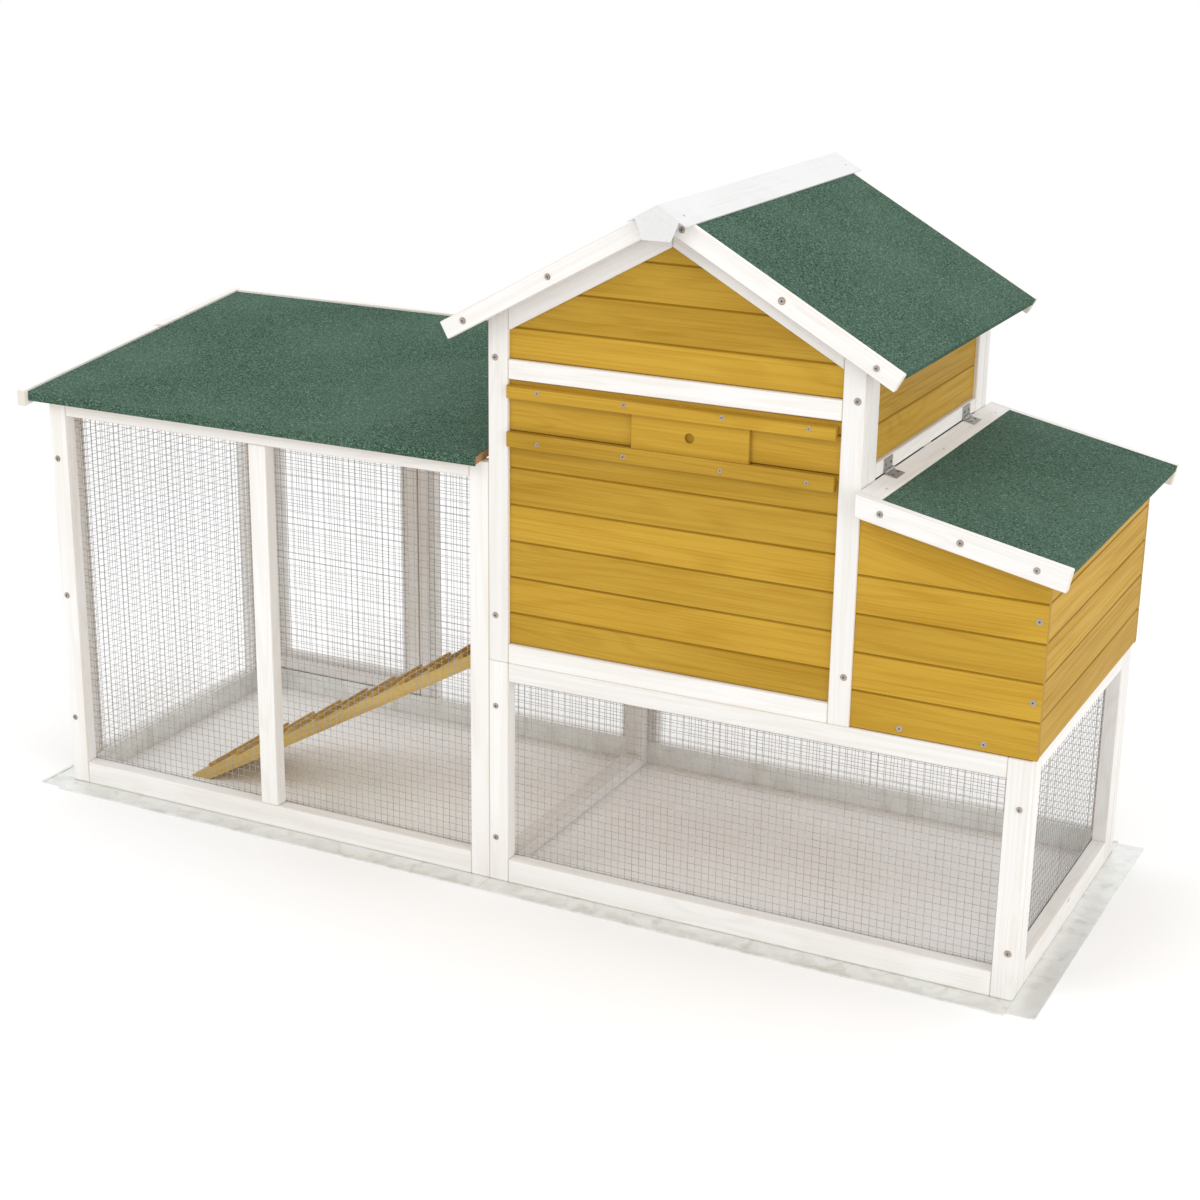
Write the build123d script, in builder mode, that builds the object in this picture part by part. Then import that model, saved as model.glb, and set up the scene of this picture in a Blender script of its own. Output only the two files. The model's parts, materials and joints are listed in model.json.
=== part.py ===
from build123d import *
from math import cos, radians, sin, tan
import os

# Raised chicken coop: a wire run on the left, a gabled house standing on a wired base on the
# right, and a nest box with a hinged lid on the end of the house. Millimetres, +X along the
# coop from run to nest box, +Y from front to back, +Z up, origin under its middle.

# Driving sizes
RUN_LENGTH = 900.0
BASE_LENGTH = 922.0
HOUSE_LENGTH = 634.0
DEPTH = 616.0
BASE_HEIGHT = 400.0
RUN_HEIGHT = 738.0
RUN_SLOPE = 0.12
EAVE_HEIGHT = 991.7
HOUSE_PITCH = 29.0
NEST_HEIGHT = 781.0
NEST_LENGTH = 295.0
LID_PITCH = 11.67

# Timber, boards and sheet
STOCK = 25.0
STILE = 36.0
RAIL = 33.0
FOOT_RAIL = 42.0
TOP_RAIL = 29.0
MID_RAIL = 32.0
GABLE_RAIL = 48.0
PLANK = 61.5
PLANK_THICK = 12.0
PLANK_LEAST = 12.0
PLANK_SET_BACK = 6.0
ARRIS = 1.2
GROOVE = 2.0
WIRE = 1.0
WIRE_LAP = 12.0
ROOF_BOARD = 9.0
RUN_ROOF_BOARD = 13.0
FELT = 1.5
BARGE = 30.0
BARGE_THICK = 13.0
STRIP = 1.2
STRIP_OUT = 47.0
STRIP_UP = 45.0
STRIP_HEM = 6.0
STRIP_CORNER = 38.0

# Clearances
JOINT = 0.2
REST = 0.3
DOOR_GAP = 2.0
PIN_FIT = 0.05

# House front
FIRST_PLANK = 54.0
MID_RAIL_Z = 879.0
GABLE_FIRST = 51.0
BATTEN_THICK = 12.0
BATTEN_END = 6.0
LOWER_BATTEN = 24.0
UPPER_BATTEN = 21.0
UPPER_BATTEN_LAP = 6.0
REBATE = 5.0
SHUTTER_LENGTH = 200.0
SHUTTER_THICK = 6.0
SHUTTER_OFF_CENTRE = 36.0
FINGER_HOLE = 16.0
VENT_GAP = 50.0
VENT_BLOCK = 40.0

# House sides, floor and inside
HINGE_RAIL = 24.0
SIDE_FIRST = 57.0
SILL_PLANKS = 123.0
POP_WIDTH = 196.0
POP_FRONT = 85.0
POP_PLANKS = 4
POP_DOOR_THICK = 6.7
POP_DOOR_LAP = 10.0
GUIDE_LIP = 6.7
GUIDE_LAP = 7.0
FLOOR_BATTEN = 12.0
FLOOR_BATTEN_DEEP = 20.0
FLOOR_BOARD = 12.0
BEARER = 37.0
PERCH = 28.0
PERCH_Z = 730.0

# Roofs
HOUSE_ROOF_HALF = 385.0
HOUSE_ROOF_OUT = 22.0
CAP_HALF = 48.0
CAP_OUT = 58.0
CAP_SHEET = 2.5
CAP_PLATE_TOP = 37.0
CAP_PLATE_FOOT = 23.0
CAP_PLATE_DROP = 50.0
RUN_ROOF_FRONT = 17.0
RUN_ROOF_BACK = 3.0
RUN_ROOF_LEFT = 30.0
RUN_ROOF_RIGHT = 14.0
FELT_DRIP = 2.0
TRIM_HIGH = 28.0
TRIM_WIDE = 17.0
TRIM_BACK = 14.0
TRIM_PROUD = 4.0
TRIM_NOSE = 11.0

# Nest box
NEST_SET_BACK = 3.0
NEST_FLOOR = 9.0
NEST_POST = 22.0
LID_REACH = 332.0
LID_OUT = 14.0
LID_RAIL = 39.5
LID_BARGE = 36.0
LID_BARGE_THICK = 14.0

# Run door, ramp, hinges, buttons and screws
DOOR_BAY = 370.0
DOOR_STILE = 37.0
RAMP_FRONT = 121.0
RAMP_WIDE = 175.0
RAMP_THICK = 20.7
RAMP_TOP_Z = 411.0
RAMP_SLOPE = 29.76
CLEAT_HIGH = 7.0
CLEAT_WIDE = 12.0
CLEAT_PITCH = 70.0
HINGE_LONG = 38.0
LEAF_WIDE = 20.0
LEAF = 1.5
KNUCKLE_R = 3.0
KNUCKLE_OFF = 3.3
HINGE_PIN_R = 1.5
MID_KNUCKLE = 12.4
LID_HINGE_Y = 194.0
RAMP_HINGE_Y = 55.0
DOOR_HINGE_END = 105.0
BUTTON_LONG = 60.0
BUTTON_WIDE = 18.0
BUTTON_THICK = 8.0
BUTTON_IN = 12.0
PIVOT_R = 2.5
SHANK_R = 2.0
SHANK = 10.0
HEAD_R = 4.2
SMALL_HEAD_R = 3.0
HEAD = 1.5
SCREW_IN = 12.5
SCREW_END = 80.0

# Planes of the assembled coop
X_RIGHT = (RUN_LENGTH + BASE_LENGTH) / 2
X_LEFT = -X_RIGHT
X_JOIN = X_LEFT + RUN_LENGTH
X_HOUSE = X_JOIN + HOUSE_LENGTH
X_NEST = X_HOUSE + NEST_LENGTH
X_RIDGE = (X_JOIN + X_HOUSE) / 2
Y_BACK = DEPTH / 2
Y_FRONT = -Y_BACK
Y_IN = Y_BACK - STOCK
HOUSE_TAN = tan(radians(HOUSE_PITCH))
HOUSE_COS = cos(radians(HOUSE_PITCH))
HOUSE_SIN = sin(radians(HOUSE_PITCH))
LID_TAN = tan(radians(LID_PITCH))
LID_COS = cos(radians(LID_PITCH))
LID_SIN = sin(radians(LID_PITCH))
RAMP_COS = cos(radians(RAMP_SLOPE))
RAMP_SIN = sin(radians(RAMP_SLOPE))
RIDGE_UNDER = EAVE_HEIGHT + HOUSE_TAN * HOUSE_LENGTH / 2
RIDGE_TOP = RIDGE_UNDER + (ROOF_BOARD + FELT) / HOUSE_COS
FRONT = (Y_FRONT, Y_FRONT + STOCK)
BACK = (Y_BACK - STOCK, Y_BACK)
SIDE_WINDOW = (FRONT[1] + STILE, BACK[0] - STILE)
HOUSE_BAY = (X_JOIN + STILE, X_HOUSE - STILE)
HOUSE_SILL = BASE_HEIGHT + RAIL
ALL_MIN = (Align.MIN, Align.MIN, Align.MIN)


def bar(x, y, z):
    """Adds a square-cut timber between three (low, high) pairs to the piece being built."""
    with Locations((x[0], y[0], z[0])):
        Box(x[1] - x[0], y[1] - y[0], z[1] - z[0], align=ALL_MIN)


def slab_xz(points, y):
    """Adds a board of the given XZ outline between two Y values."""
    with BuildSketch(Plane.XZ.offset(-y[1])) as outline:
        with BuildLine():
            Polyline(*points, close=True)
        make_face()
    extrude(outline.sketch, amount=y[1] - y[0])


def slab_yz(points, x):
    """Adds a board of the given YZ outline between two X values."""
    with BuildSketch(Plane.YZ.offset(x[0])) as outline:
        with BuildLine():
            Polyline(*points, close=True)
        make_face()
    extrude(outline.sketch, amount=x[1] - x[0])


def inset(span, by=JOINT):
    """A (low, high) pair drawn in at both ends."""
    return (span[0] + by, span[1] - by)


def mirrored(span):
    """A (low, high) pair reflected about zero."""
    return (-span[1], -span[0])


def courses(low, high, first=PLANK):
    """The (low, high) pairs of the boards that fill a height, from the bottom up."""
    joints = [low]
    top = low + first
    while top < high - PLANK_LEAST:
        joints.append(top)
        top += PLANK
    joints.append(high)
    return [inset(pair, JOINT / 2) for pair in zip(joints, joints[1:])]


def ladder(x, y, z, foot, top, across="x"):
    """Two full-height stiles with a foot rail and a top rail between them."""
    run, other = (x, y) if across == "x" else (y, x)
    stiles = ((run[0], run[0] + STILE), (run[1] - STILE, run[1]))
    for stile in stiles:
        spans = (stile, other) if across == "x" else (other, stile)
        bar(*spans, z)
    rail = inset((stiles[0][1], stiles[1][0]))
    for height in ((z[0], z[0] + foot), (z[1] - top, z[1])):
        spans = (rail, other) if across == "x" else (other, rail)
        bar(*spans, height)


def bores(points, y_face, radius=SHANK_R, depth=SHANK):
    """Cuts screw bores along Y into a front (negative) or back (positive) face."""
    inward = -1 if y_face > 0 else 1
    spots = [Location((x, y_face + inward * depth / 2, z), (90, 0, 0)) for x, z in points]
    with Locations(*spots):
        Cylinder(radius + PIN_FIT, depth, mode=Mode.SUBTRACT)


def screws(points, y_face, head=HEAD_R):
    """Adds screws along Y whose heads lie on a front or back face."""
    out = 1 if y_face > 0 else -1
    shanks = [Location((x, y_face - out * SHANK / 2, z), (90, 0, 0)) for x, z in points]
    heads = [Location((x, y_face + out * HEAD / 2, z), (90, 0, 0)) for x, z in points]
    with Locations(*shanks):
        Cylinder(SHANK_R, SHANK)
    with Locations(*heads):
        Cylinder(head, HEAD)


def run_under(y):
    """Height of the underside of the run roof."""
    return RUN_HEIGHT + RUN_SLOPE * (y - Y_FRONT)


def house_under(x):
    """Height of the underside of the house roof."""
    return RIDGE_UNDER - HOUSE_TAN * abs(x - X_RIDGE)


def roof_point(side, along, below):
    """A house-roof point: along the slope from the ridge and square below its top face."""
    x = X_RIDGE + side * (along * HOUSE_COS - below * HOUSE_SIN)
    return (x, RIDGE_TOP - along * HOUSE_SIN - below * HOUSE_COS)


def roof_outline(side, low, high, end):
    """A sloping layer of the house roof, cut upright at the ridge and square at the eave."""
    return [
        roof_point(side, low * HOUSE_TAN + JOINT, low),
        roof_point(side, end, low),
        roof_point(side, end, high),
        roof_point(side, high * HOUSE_TAN + JOINT, high),
    ]


def lid_point(along, below):
    """A lid point: along the slope from the house wall and square below its top face."""
    x = X_HOUSE + along * LID_COS - below * LID_SIN
    return (x, NEST_HEIGHT - along * LID_SIN - below * LID_COS)


def lid_under(x):
    """Height of the tops of the nest walls, just clear of the lid's underside."""
    return NEST_HEIGHT - LID_TAN * (x - X_HOUSE) - (ROOF_BOARD + FELT) / LID_COS - REST


def hinge_plate(axis, lean, side, spans):
    """One leaf with its knuckles; lean turns it about the pin, side is where its timber is."""
    along = axis.x_dir * cos(radians(lean)) + axis.y_dir * sin(radians(lean))
    plate = Plane(axis.origin, x_dir=along, z_dir=axis.z_dir)
    mid = -side * (KNUCKLE_OFF - LEAF / 2)
    clear = KNUCKLE_R + KNUCKLE_OFF / 10
    with BuildSketch(plate.offset(-HINGE_LONG / 2)) as leaf:
        with Locations(((clear + LEAF_WIDE) / 2, mid)):
            Rectangle(LEAF_WIDE - clear, LEAF)
    extrude(leaf.sketch, amount=HINGE_LONG)
    for low, high in spans:
        with BuildSketch(plate.offset(low)) as knuckle:
            with Locations((clear / 2, mid)):
                Rectangle(clear + LEAF, LEAF)
            Circle(KNUCKLE_R)
            Circle(HINGE_PIN_R + PIN_FIT, mode=Mode.SUBTRACT)
        extrude(knuckle.sketch, amount=high - low)


OUTER_KNUCKLES = (
    (-HINGE_LONG / 2, -MID_KNUCKLE / 2 - REST),
    (MID_KNUCKLE / 2 + REST, HINGE_LONG / 2),
)
INNER_KNUCKLE = ((-MID_KNUCKLE / 2, MID_KNUCKLE / 2),)

# Where the hinges sit: each plane's Z axis is its pin
RUN_DOOR = (X_LEFT + STILE + DOOR_GAP, X_LEFT + STILE + DOOR_BAY - DOOR_GAP)
RUN_BACK_TOP = run_under(BACK[0])
RUN_DOOR_Z = (STRIP + FOOT_RAIL + DOOR_GAP, RUN_BACK_TOP - TOP_RAIL - DOOR_GAP)
HOUSE_DOOR = inset(HOUSE_BAY, DOOR_GAP)
HOUSE_DOOR_Z = (HOUSE_SILL + DOOR_GAP, MID_RAIL_Z - DOOR_GAP)
RAMP = (Y_FRONT + RAMP_FRONT, Y_FRONT + RAMP_FRONT + RAMP_WIDE)
RAMP_MID = (RAMP[0] + RAMP[1]) / 2
LID_PIN = (
    X_HOUSE + KNUCKLE_OFF,
    NEST_HEIGHT - LID_TAN * KNUCKLE_OFF + KNUCKLE_OFF / LID_COS,
)
RAMP_PIN = (
    X_JOIN - KNUCKLE_OFF,
    RAMP_TOP_Z - KNUCKLE_OFF * RAMP_SIN / RAMP_COS + KNUCKLE_OFF / RAMP_COS,
)


def lid_axis(y):
    """Hinge plane of the nest lid."""
    return Plane((LID_PIN[0], y, LID_PIN[1]), x_dir=(1, 0, 0), z_dir=(0, -1, 0))


def ramp_axis(y):
    """Hinge plane of the ramp."""
    return Plane((RAMP_PIN[0], y, RAMP_PIN[1]), x_dir=(-1, 0, 0), z_dir=(0, 1, 0))


def door_axis(x, z):
    """Hinge plane of a back door."""
    return Plane((x, Y_BACK + KNUCKLE_OFF, z), x_dir=(1, 0, 0), z_dir=(0, 0, 1))


LID_AXES = [lid_axis(y) for y in (-LID_HINGE_Y, LID_HINGE_Y)]
RAMP_AXES = [ramp_axis(RAMP_MID + y) for y in (-RAMP_HINGE_Y, RAMP_HINGE_Y)]
RUN_DOOR_AXES = [
    door_axis(RUN_DOOR[0] - DOOR_GAP / 2, z) for z in inset(RUN_DOOR_Z, DOOR_HINGE_END)
]
HOUSE_DOOR_AXES = [
    door_axis(HOUSE_DOOR[0] - DOOR_GAP / 2, z) for z in inset(HOUSE_DOOR_Z, DOOR_HINGE_END)
]

# Screw positions as (x, z) on the front and back faces
RUN_SCREWS = [(X_LEFT + SCREW_IN, z) for z in (129.0, RUN_HEIGHT / 2, RUN_HEIGHT - 110.0)]
BASE_SCREWS = [
    (x, z)
    for x in (X_JOIN + SCREW_IN, X_RIGHT - SCREW_IN)
    for z in (SCREW_END, BASE_HEIGHT - SCREW_END)
]
HOUSE_SCREWS = [
    (x, z)
    for x in (X_JOIN + SCREW_IN, X_HOUSE - SCREW_IN)
    for z in (BASE_HEIGHT + SCREW_END, EAVE_HEIGHT - SCREW_END)
]
BARGE_SCREWS = [
    roof_point(side, along / HOUSE_COS, BARGE / 2)
    for side in (-1, 1)
    for along in (38.0, 200.0, HOUSE_ROOF_HALF - 35.0)
]
LID_SCREWS = [lid_point(along, LID_BARGE / 2) for along in (45.0, 172.0, LID_REACH - 42.0)]
NEST_SCREWS = [(X_NEST - SCREW_IN, z) for z in (BASE_HEIGHT + 92.0, BASE_HEIGHT + 218.0)]
NEST_SCREWS += [(X_HOUSE + along, BASE_HEIGHT + SCREW_IN) for along in (80.0, 213.0)]
NEST_FACE = Y_FRONT + NEST_SET_BACK

# House front courses, with the vent in the last full one
LOWER_COURSES = courses(HOUSE_SILL, MID_RAIL_Z, FIRST_PLANK)
VENT_COURSE = LOWER_COURSES[-2]
PLANK_FACE = Y_FRONT + PLANK_SET_BACK
PLANKS_Y = (PLANK_FACE, PLANK_FACE + PLANK_THICK)
BATTEN_FACE = PLANK_FACE - BATTEN_THICK
LOWER_BATTEN_TOP = VENT_COURSE[0]
UPPER_BATTEN_FOOT = VENT_COURSE[1] - UPPER_BATTEN_LAP
UPPER_BATTEN_TOP = UPPER_BATTEN_FOOT + UPPER_BATTEN
SHUTTER_X = X_RIDGE + SHUTTER_OFF_CENTRE
BATTEN_X = (HOUSE_BAY[0] + JOINT, HOUSE_BAY[1] - BATTEN_END)
BATTEN_SCREW_X = [BATTEN_X[0] + along for along in (55.0, 207.0, 372.0, 513.0)]
BATTEN_SCREWS = [
    (x, z)
    for x in BATTEN_SCREW_X
    for z in (
        LOWER_BATTEN_TOP - LOWER_BATTEN / 2 - REBATE / 2,
        UPPER_BATTEN_TOP - UPPER_BATTEN / 2 + REBATE / 2,
    )
]

# Turn buttons as (x, z) of their pivots
RUN_BUTTON = (X_LEFT + STILE + DOOR_BAY + BUTTON_IN, (RUN_DOOR_Z[0] + RUN_DOOR_Z[1]) / 2)
HOUSE_BUTTON = (HOUSE_BAY[1] + BUTTON_IN, (HOUSE_DOOR_Z[0] + HOUSE_DOOR_Z[1]) / 2)

os.makedirs("parts", exist_ok=True)

# ---- Galvanised ground strips ----


def strip_profile(inner):
    """Outline of a front or back strip: hemmed flange, then the leg up inside the frame."""
    leg = inner + STRIP
    out = Y_BACK + STRIP_OUT
    return [
        (-out, 0),
        (-inner, 0),
        (-inner, STRIP_UP),
        (-leg, STRIP_UP),
        (-leg, STRIP),
        (STRIP_HEM - out, STRIP),
        (STRIP_HEM - out, 2 * STRIP),
        (-out, 2 * STRIP),
    ]


LEG_Y = Y_IN - WIRE - JOINT - STRIP
END_LEG_X = X_RIGHT - STOCK - WIRE - JOINT - STRIP
END_FLANGE = (X_RIGHT + JOINT, X_RIGHT + STRIP_OUT)

with BuildPart() as ground_strips_long:
    for lengths in ((X_LEFT, X_JOIN - JOINT), (X_JOIN + JOINT, X_RIGHT)):
        slab_yz(strip_profile(LEG_Y), lengths)
        slab_yz([(-y, z) for y, z in strip_profile(LEG_Y)], lengths)
    with Locations((X_RIGHT, 0, STRIP), (X_LEFT, 0, STRIP)):
        Box(
            2 * (X_RIGHT - END_LEG_X),
            2 * (Y_IN + JOINT),
            STRIP_UP,
            align=(Align.CENTER, Align.CENTER, Align.MIN),
            mode=Mode.SUBTRACT,
        )
ground_strips_long.part.label = "ground_strips_long"
export_step(ground_strips_long.part, "parts/ground_strips_long.step")

with BuildPart() as ground_strips_ends:
    bar((END_LEG_X, END_FLANGE[1]), inset((-LEG_Y, LEG_Y)), (0, STRIP))
    bar((END_LEG_X, END_LEG_X + STRIP), inset((-LEG_Y, LEG_Y)), (0, STRIP_UP))
    bar(END_FLANGE, (Y_FRONT - STRIP_CORNER, Y_BACK + STRIP_CORNER), (0, STRIP))
    bar(
        (END_FLANGE[1] - STRIP_HEM, END_FLANGE[1]),
        (Y_FRONT - STRIP_CORNER, Y_BACK + STRIP_CORNER),
        (0, 2 * STRIP),
    )
    mirror(about=Plane.YZ)
ground_strips_ends.part.label = "ground_strips_ends"
export_step(ground_strips_ends.part, "parts/ground_strips_ends.step")

# ---- Run ----

MID_STILE_X = X_LEFT + 429.0
RUN_WINDOWS = ((X_LEFT + STILE, MID_STILE_X), (MID_STILE_X + STILE, X_JOIN - STILE))
BACK_MID_X = X_LEFT + STILE + DOOR_BAY

with BuildPart() as run_front_frame:
    ladder((X_LEFT, X_JOIN - JOINT), FRONT, (STRIP, RUN_HEIGHT), FOOT_RAIL, TOP_RAIL)
    bar(
        (MID_STILE_X, MID_STILE_X + STILE),
        FRONT,
        inset((STRIP + FOOT_RAIL, RUN_HEIGHT - TOP_RAIL)),
    )
    chamfer(run_front_frame.edges(), ARRIS)
    bores(RUN_SCREWS, Y_FRONT)
run_front_frame.part.label = "run_front_frame"
export_step(run_front_frame.part, "parts/run_front_frame.step")

with BuildPart() as run_left_frame:
    X_SIDE = (X_LEFT, X_LEFT + STOCK)
    for low, high in ((FRONT[1], FRONT[1] + STILE), (BACK[0] - STILE, BACK[0])):
        slab_yz(
            [(low, STRIP), (high, STRIP), (high, run_under(high)), (low, run_under(low))],
            X_SIDE,
        )
    low, high = inset(SIDE_WINDOW)
    bar(X_SIDE, (low, high), (STRIP, STRIP + FOOT_RAIL))
    slab_yz(
        [
            (low, run_under(low) - TOP_RAIL),
            (high, run_under(high) - TOP_RAIL),
            (high, run_under(high)),
            (low, run_under(low)),
        ],
        X_SIDE,
    )
    chamfer(run_left_frame.edges(), ARRIS)
run_left_frame.part.label = "run_left_frame"
export_step(run_left_frame.part, "parts/run_left_frame.step")

with BuildPart() as run_back_frame:
    ladder((X_LEFT, X_JOIN - JOINT), BACK, (STRIP, RUN_BACK_TOP), FOOT_RAIL, TOP_RAIL)
    bar(
        (BACK_MID_X, BACK_MID_X + STILE),
        BACK,
        inset((STRIP + FOOT_RAIL, RUN_BACK_TOP - TOP_RAIL)),
    )
    chamfer(run_back_frame.edges(), ARRIS)
    bores(RUN_SCREWS, Y_BACK)
    bores([RUN_BUTTON], Y_BACK, PIVOT_R, STOCK - REBATE)
run_back_frame.part.label = "run_back_frame"
export_step(run_back_frame.part, "parts/run_back_frame.step")

with BuildPart() as run_mesh_panels:
    foot = STRIP + FOOT_RAIL - WIRE_LAP
    bar(
        (X_LEFT + STOCK + JOINT, X_JOIN - STILE + WIRE_LAP),
        (FRONT[1], FRONT[1] + WIRE),
        (foot, RUN_HEIGHT - TOP_RAIL + WIRE_LAP),
    )
    low, high = inset(SIDE_WINDOW, -WIRE_LAP)
    drop = TOP_RAIL - WIRE_LAP
    slab_yz(
        [(low, foot), (high, foot), (high, run_under(high) - drop), (low, run_under(low) - drop)],
        (X_LEFT + STOCK, X_LEFT + STOCK + WIRE),
    )
    bar(
        (BACK_MID_X + STILE - WIRE_LAP, X_JOIN - STILE + WIRE_LAP),
        (BACK[0] - WIRE, BACK[0]),
        (foot, RUN_BACK_TOP - TOP_RAIL + WIRE_LAP),
    )
run_mesh_panels.part.label = "run_mesh_panels"
export_step(run_mesh_panels.part, "parts/run_mesh_panels.step")

with BuildPart() as run_door_frame:
    for low, high in (
        (RUN_DOOR[0], RUN_DOOR[0] + DOOR_STILE),
        (RUN_DOOR[1] - DOOR_STILE, RUN_DOOR[1]),
    ):
        bar((low, high), BACK, RUN_DOOR_Z)
    for low, high in (
        (RUN_DOOR_Z[0], RUN_DOOR_Z[0] + DOOR_STILE),
        (RUN_DOOR_Z[1] - DOOR_STILE, RUN_DOOR_Z[1]),
    ):
        bar(inset(RUN_DOOR, DOOR_STILE + JOINT), BACK, (low, high))
    chamfer(run_door_frame.edges(), ARRIS)
run_door_frame.part.label = "run_door_frame"
export_step(run_door_frame.part, "parts/run_door_frame.step")

with BuildPart() as run_door_mesh:
    bar(
        inset(RUN_DOOR, DOOR_STILE - WIRE_LAP),
        (BACK[0] - WIRE, BACK[0]),
        inset(RUN_DOOR_Z, DOOR_STILE - WIRE_LAP),
    )
run_door_mesh.part.label = "run_door_mesh"
export_step(run_door_mesh.part, "parts/run_door_mesh.step")

# ---- Run roof ----

RUN_ROOF_X = (X_LEFT - RUN_ROOF_LEFT, X_JOIN - RUN_ROOF_RIGHT)
RUN_ROOF_Y = (Y_FRONT - RUN_ROOF_FRONT, Y_BACK + RUN_ROOF_BACK)


def run_layer(y, low, high):
    """Outline of a layer of the run roof between two heights above its underside."""
    return [
        (y[0], run_under(y[0]) + low),
        (y[1], run_under(y[1]) + low),
        (y[1], run_under(y[1]) + high),
        (y[0], run_under(y[0]) + high),
    ]


with BuildPart() as run_roof_board:
    slab_yz(run_layer(RUN_ROOF_Y, 0, RUN_ROOF_BOARD), RUN_ROOF_X)
run_roof_board.part.label = "run_roof_board"
export_step(run_roof_board.part, "parts/run_roof_board.step")

with BuildPart() as run_roof_felt:
    front = RUN_ROOF_Y[0] - FELT
    slab_yz(
        [
            (front, run_under(front) - FELT_DRIP),
            (RUN_ROOF_Y[0], run_under(RUN_ROOF_Y[0]) - FELT_DRIP),
            (RUN_ROOF_Y[0], run_under(RUN_ROOF_Y[0]) + RUN_ROOF_BOARD),
            (RUN_ROOF_Y[1], run_under(RUN_ROOF_Y[1]) + RUN_ROOF_BOARD),
            (RUN_ROOF_Y[1], run_under(RUN_ROOF_Y[1]) + RUN_ROOF_BOARD + FELT),
            (front, run_under(front) + RUN_ROOF_BOARD + FELT),
        ],
        RUN_ROOF_X,
    )
run_roof_felt.part.label = "run_roof_felt"
export_step(run_roof_felt.part, "parts/run_roof_felt.step")

with BuildPart() as run_roof_trims:
    top = RUN_ROOF_BOARD + FELT + TRIM_PROUD
    back_trim = (RUN_ROOF_Y[1], RUN_ROOF_Y[1] + TRIM_BACK)
    slab_yz(
        run_layer((RUN_ROOF_Y[0] - TRIM_NOSE, back_trim[1]), top - TRIM_HIGH, top),
        (RUN_ROOF_X[0] - TRIM_WIDE, RUN_ROOF_X[0]),
    )
    slab_yz(run_layer(back_trim, top - TRIM_HIGH, top), (RUN_ROOF_X[0] + JOINT, RUN_ROOF_X[1]))
    chamfer(run_roof_trims.edges(), ARRIS)
run_roof_trims.part.label = "run_roof_trims"
export_step(run_roof_trims.part, "parts/run_roof_trims.step")

# ---- Base under the house and nest box ----

with BuildPart() as base_front_frame:
    ladder((X_JOIN, X_RIGHT), FRONT, (STRIP, BASE_HEIGHT), FOOT_RAIL, RAIL)
    chamfer(base_front_frame.edges(), ARRIS)
    bores(BASE_SCREWS, Y_FRONT)
base_front_frame.part.label = "base_front_frame"
export_step(base_front_frame.part, "parts/base_front_frame.step")

with BuildPart() as base_back_frame:
    ladder((X_JOIN, X_RIGHT), BACK, (STRIP, BASE_HEIGHT), FOOT_RAIL, RAIL)
    chamfer(base_back_frame.edges(), ARRIS)
    bores(BASE_SCREWS, Y_BACK)
base_back_frame.part.label = "base_back_frame"
export_step(base_back_frame.part, "parts/base_back_frame.step")

with BuildPart() as base_end_frame:
    ladder(
        (X_RIGHT - STOCK, X_RIGHT),
        (FRONT[1], BACK[0]),
        (STRIP, BASE_HEIGHT),
        FOOT_RAIL,
        RAIL,
        across="y",
    )
    chamfer(base_end_frame.edges(), ARRIS)
base_end_frame.part.label = "base_end_frame"
export_step(base_end_frame.part, "parts/base_end_frame.step")

with BuildPart() as base_mesh_panels:
    base_wire_z = (STRIP + FOOT_RAIL - WIRE_LAP, BASE_HEIGHT - RAIL + WIRE_LAP)
    for y in ((FRONT[1], FRONT[1] + WIRE), (BACK[0] - WIRE, BACK[0])):
        bar((X_JOIN + STILE - WIRE_LAP, X_RIGHT - STOCK - JOINT), y, base_wire_z)
    bar(
        (X_RIGHT - STOCK - WIRE, X_RIGHT - STOCK),
        inset(SIDE_WINDOW, -WIRE_LAP),
        base_wire_z,
    )
base_mesh_panels.part.label = "base_mesh_panels"
export_step(base_mesh_panels.part, "parts/base_mesh_panels.step")

POST_OUT = LEG_Y - JOINT
POST_IN = POST_OUT - STOCK
BEARER_Z = (BASE_HEIGHT - STOCK, BASE_HEIGHT)

with BuildPart() as house_support_frame:
    under_wall = (X_JOIN - BEARER / 2, X_JOIN + BEARER / 2)
    for y in ((-POST_OUT, -POST_IN), (POST_IN, POST_OUT)):
        bar(under_wall, y, (0, BASE_HEIGHT))
    bar(under_wall, inset((-POST_IN, POST_IN)), (0, STOCK))
    bar((X_JOIN + JOINT, X_JOIN + STOCK), inset((-POST_IN, POST_IN)), BEARER_Z)
    bar(
        (X_HOUSE - (STOCK + BEARER) / 2, X_HOUSE + (BEARER - STOCK) / 2),
        (-POST_OUT, POST_OUT),
        BEARER_Z,
    )
    chamfer(house_support_frame.edges(), ARRIS)
house_support_frame.part.label = "house_support_frame"
export_step(house_support_frame.part, "parts/house_support_frame.step")

# ---- House walls ----


def gable_frame(y, bottom_only_rail):
    """Posts, foot rail, mid rail and the two sloping rails of a gable wall."""
    for low, high in ((X_JOIN, HOUSE_BAY[0]), (HOUSE_BAY[1], X_HOUSE)):
        slab_xz(
            [
                (low, BASE_HEIGHT),
                (high, BASE_HEIGHT),
                (high, house_under(high) - JOINT),
                (low, house_under(low) - JOINT),
            ],
            y,
        )
    for z in ((BASE_HEIGHT, bottom_only_rail), (MID_RAIL_Z, MID_RAIL_Z + MID_RAIL)):
        bar(inset(HOUSE_BAY), y, z)
    drop = GABLE_RAIL / HOUSE_COS
    for side, post in ((-1, HOUSE_BAY[0] + JOINT), (1, HOUSE_BAY[1] - JOINT)):
        middle = X_RIDGE + side * JOINT
        slab_xz(
            [
                (post, house_under(post) - drop),
                (middle, house_under(middle) - drop),
                (middle, house_under(middle) - JOINT),
                (post, house_under(post) - JOINT),
            ],
            y,
        )


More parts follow.
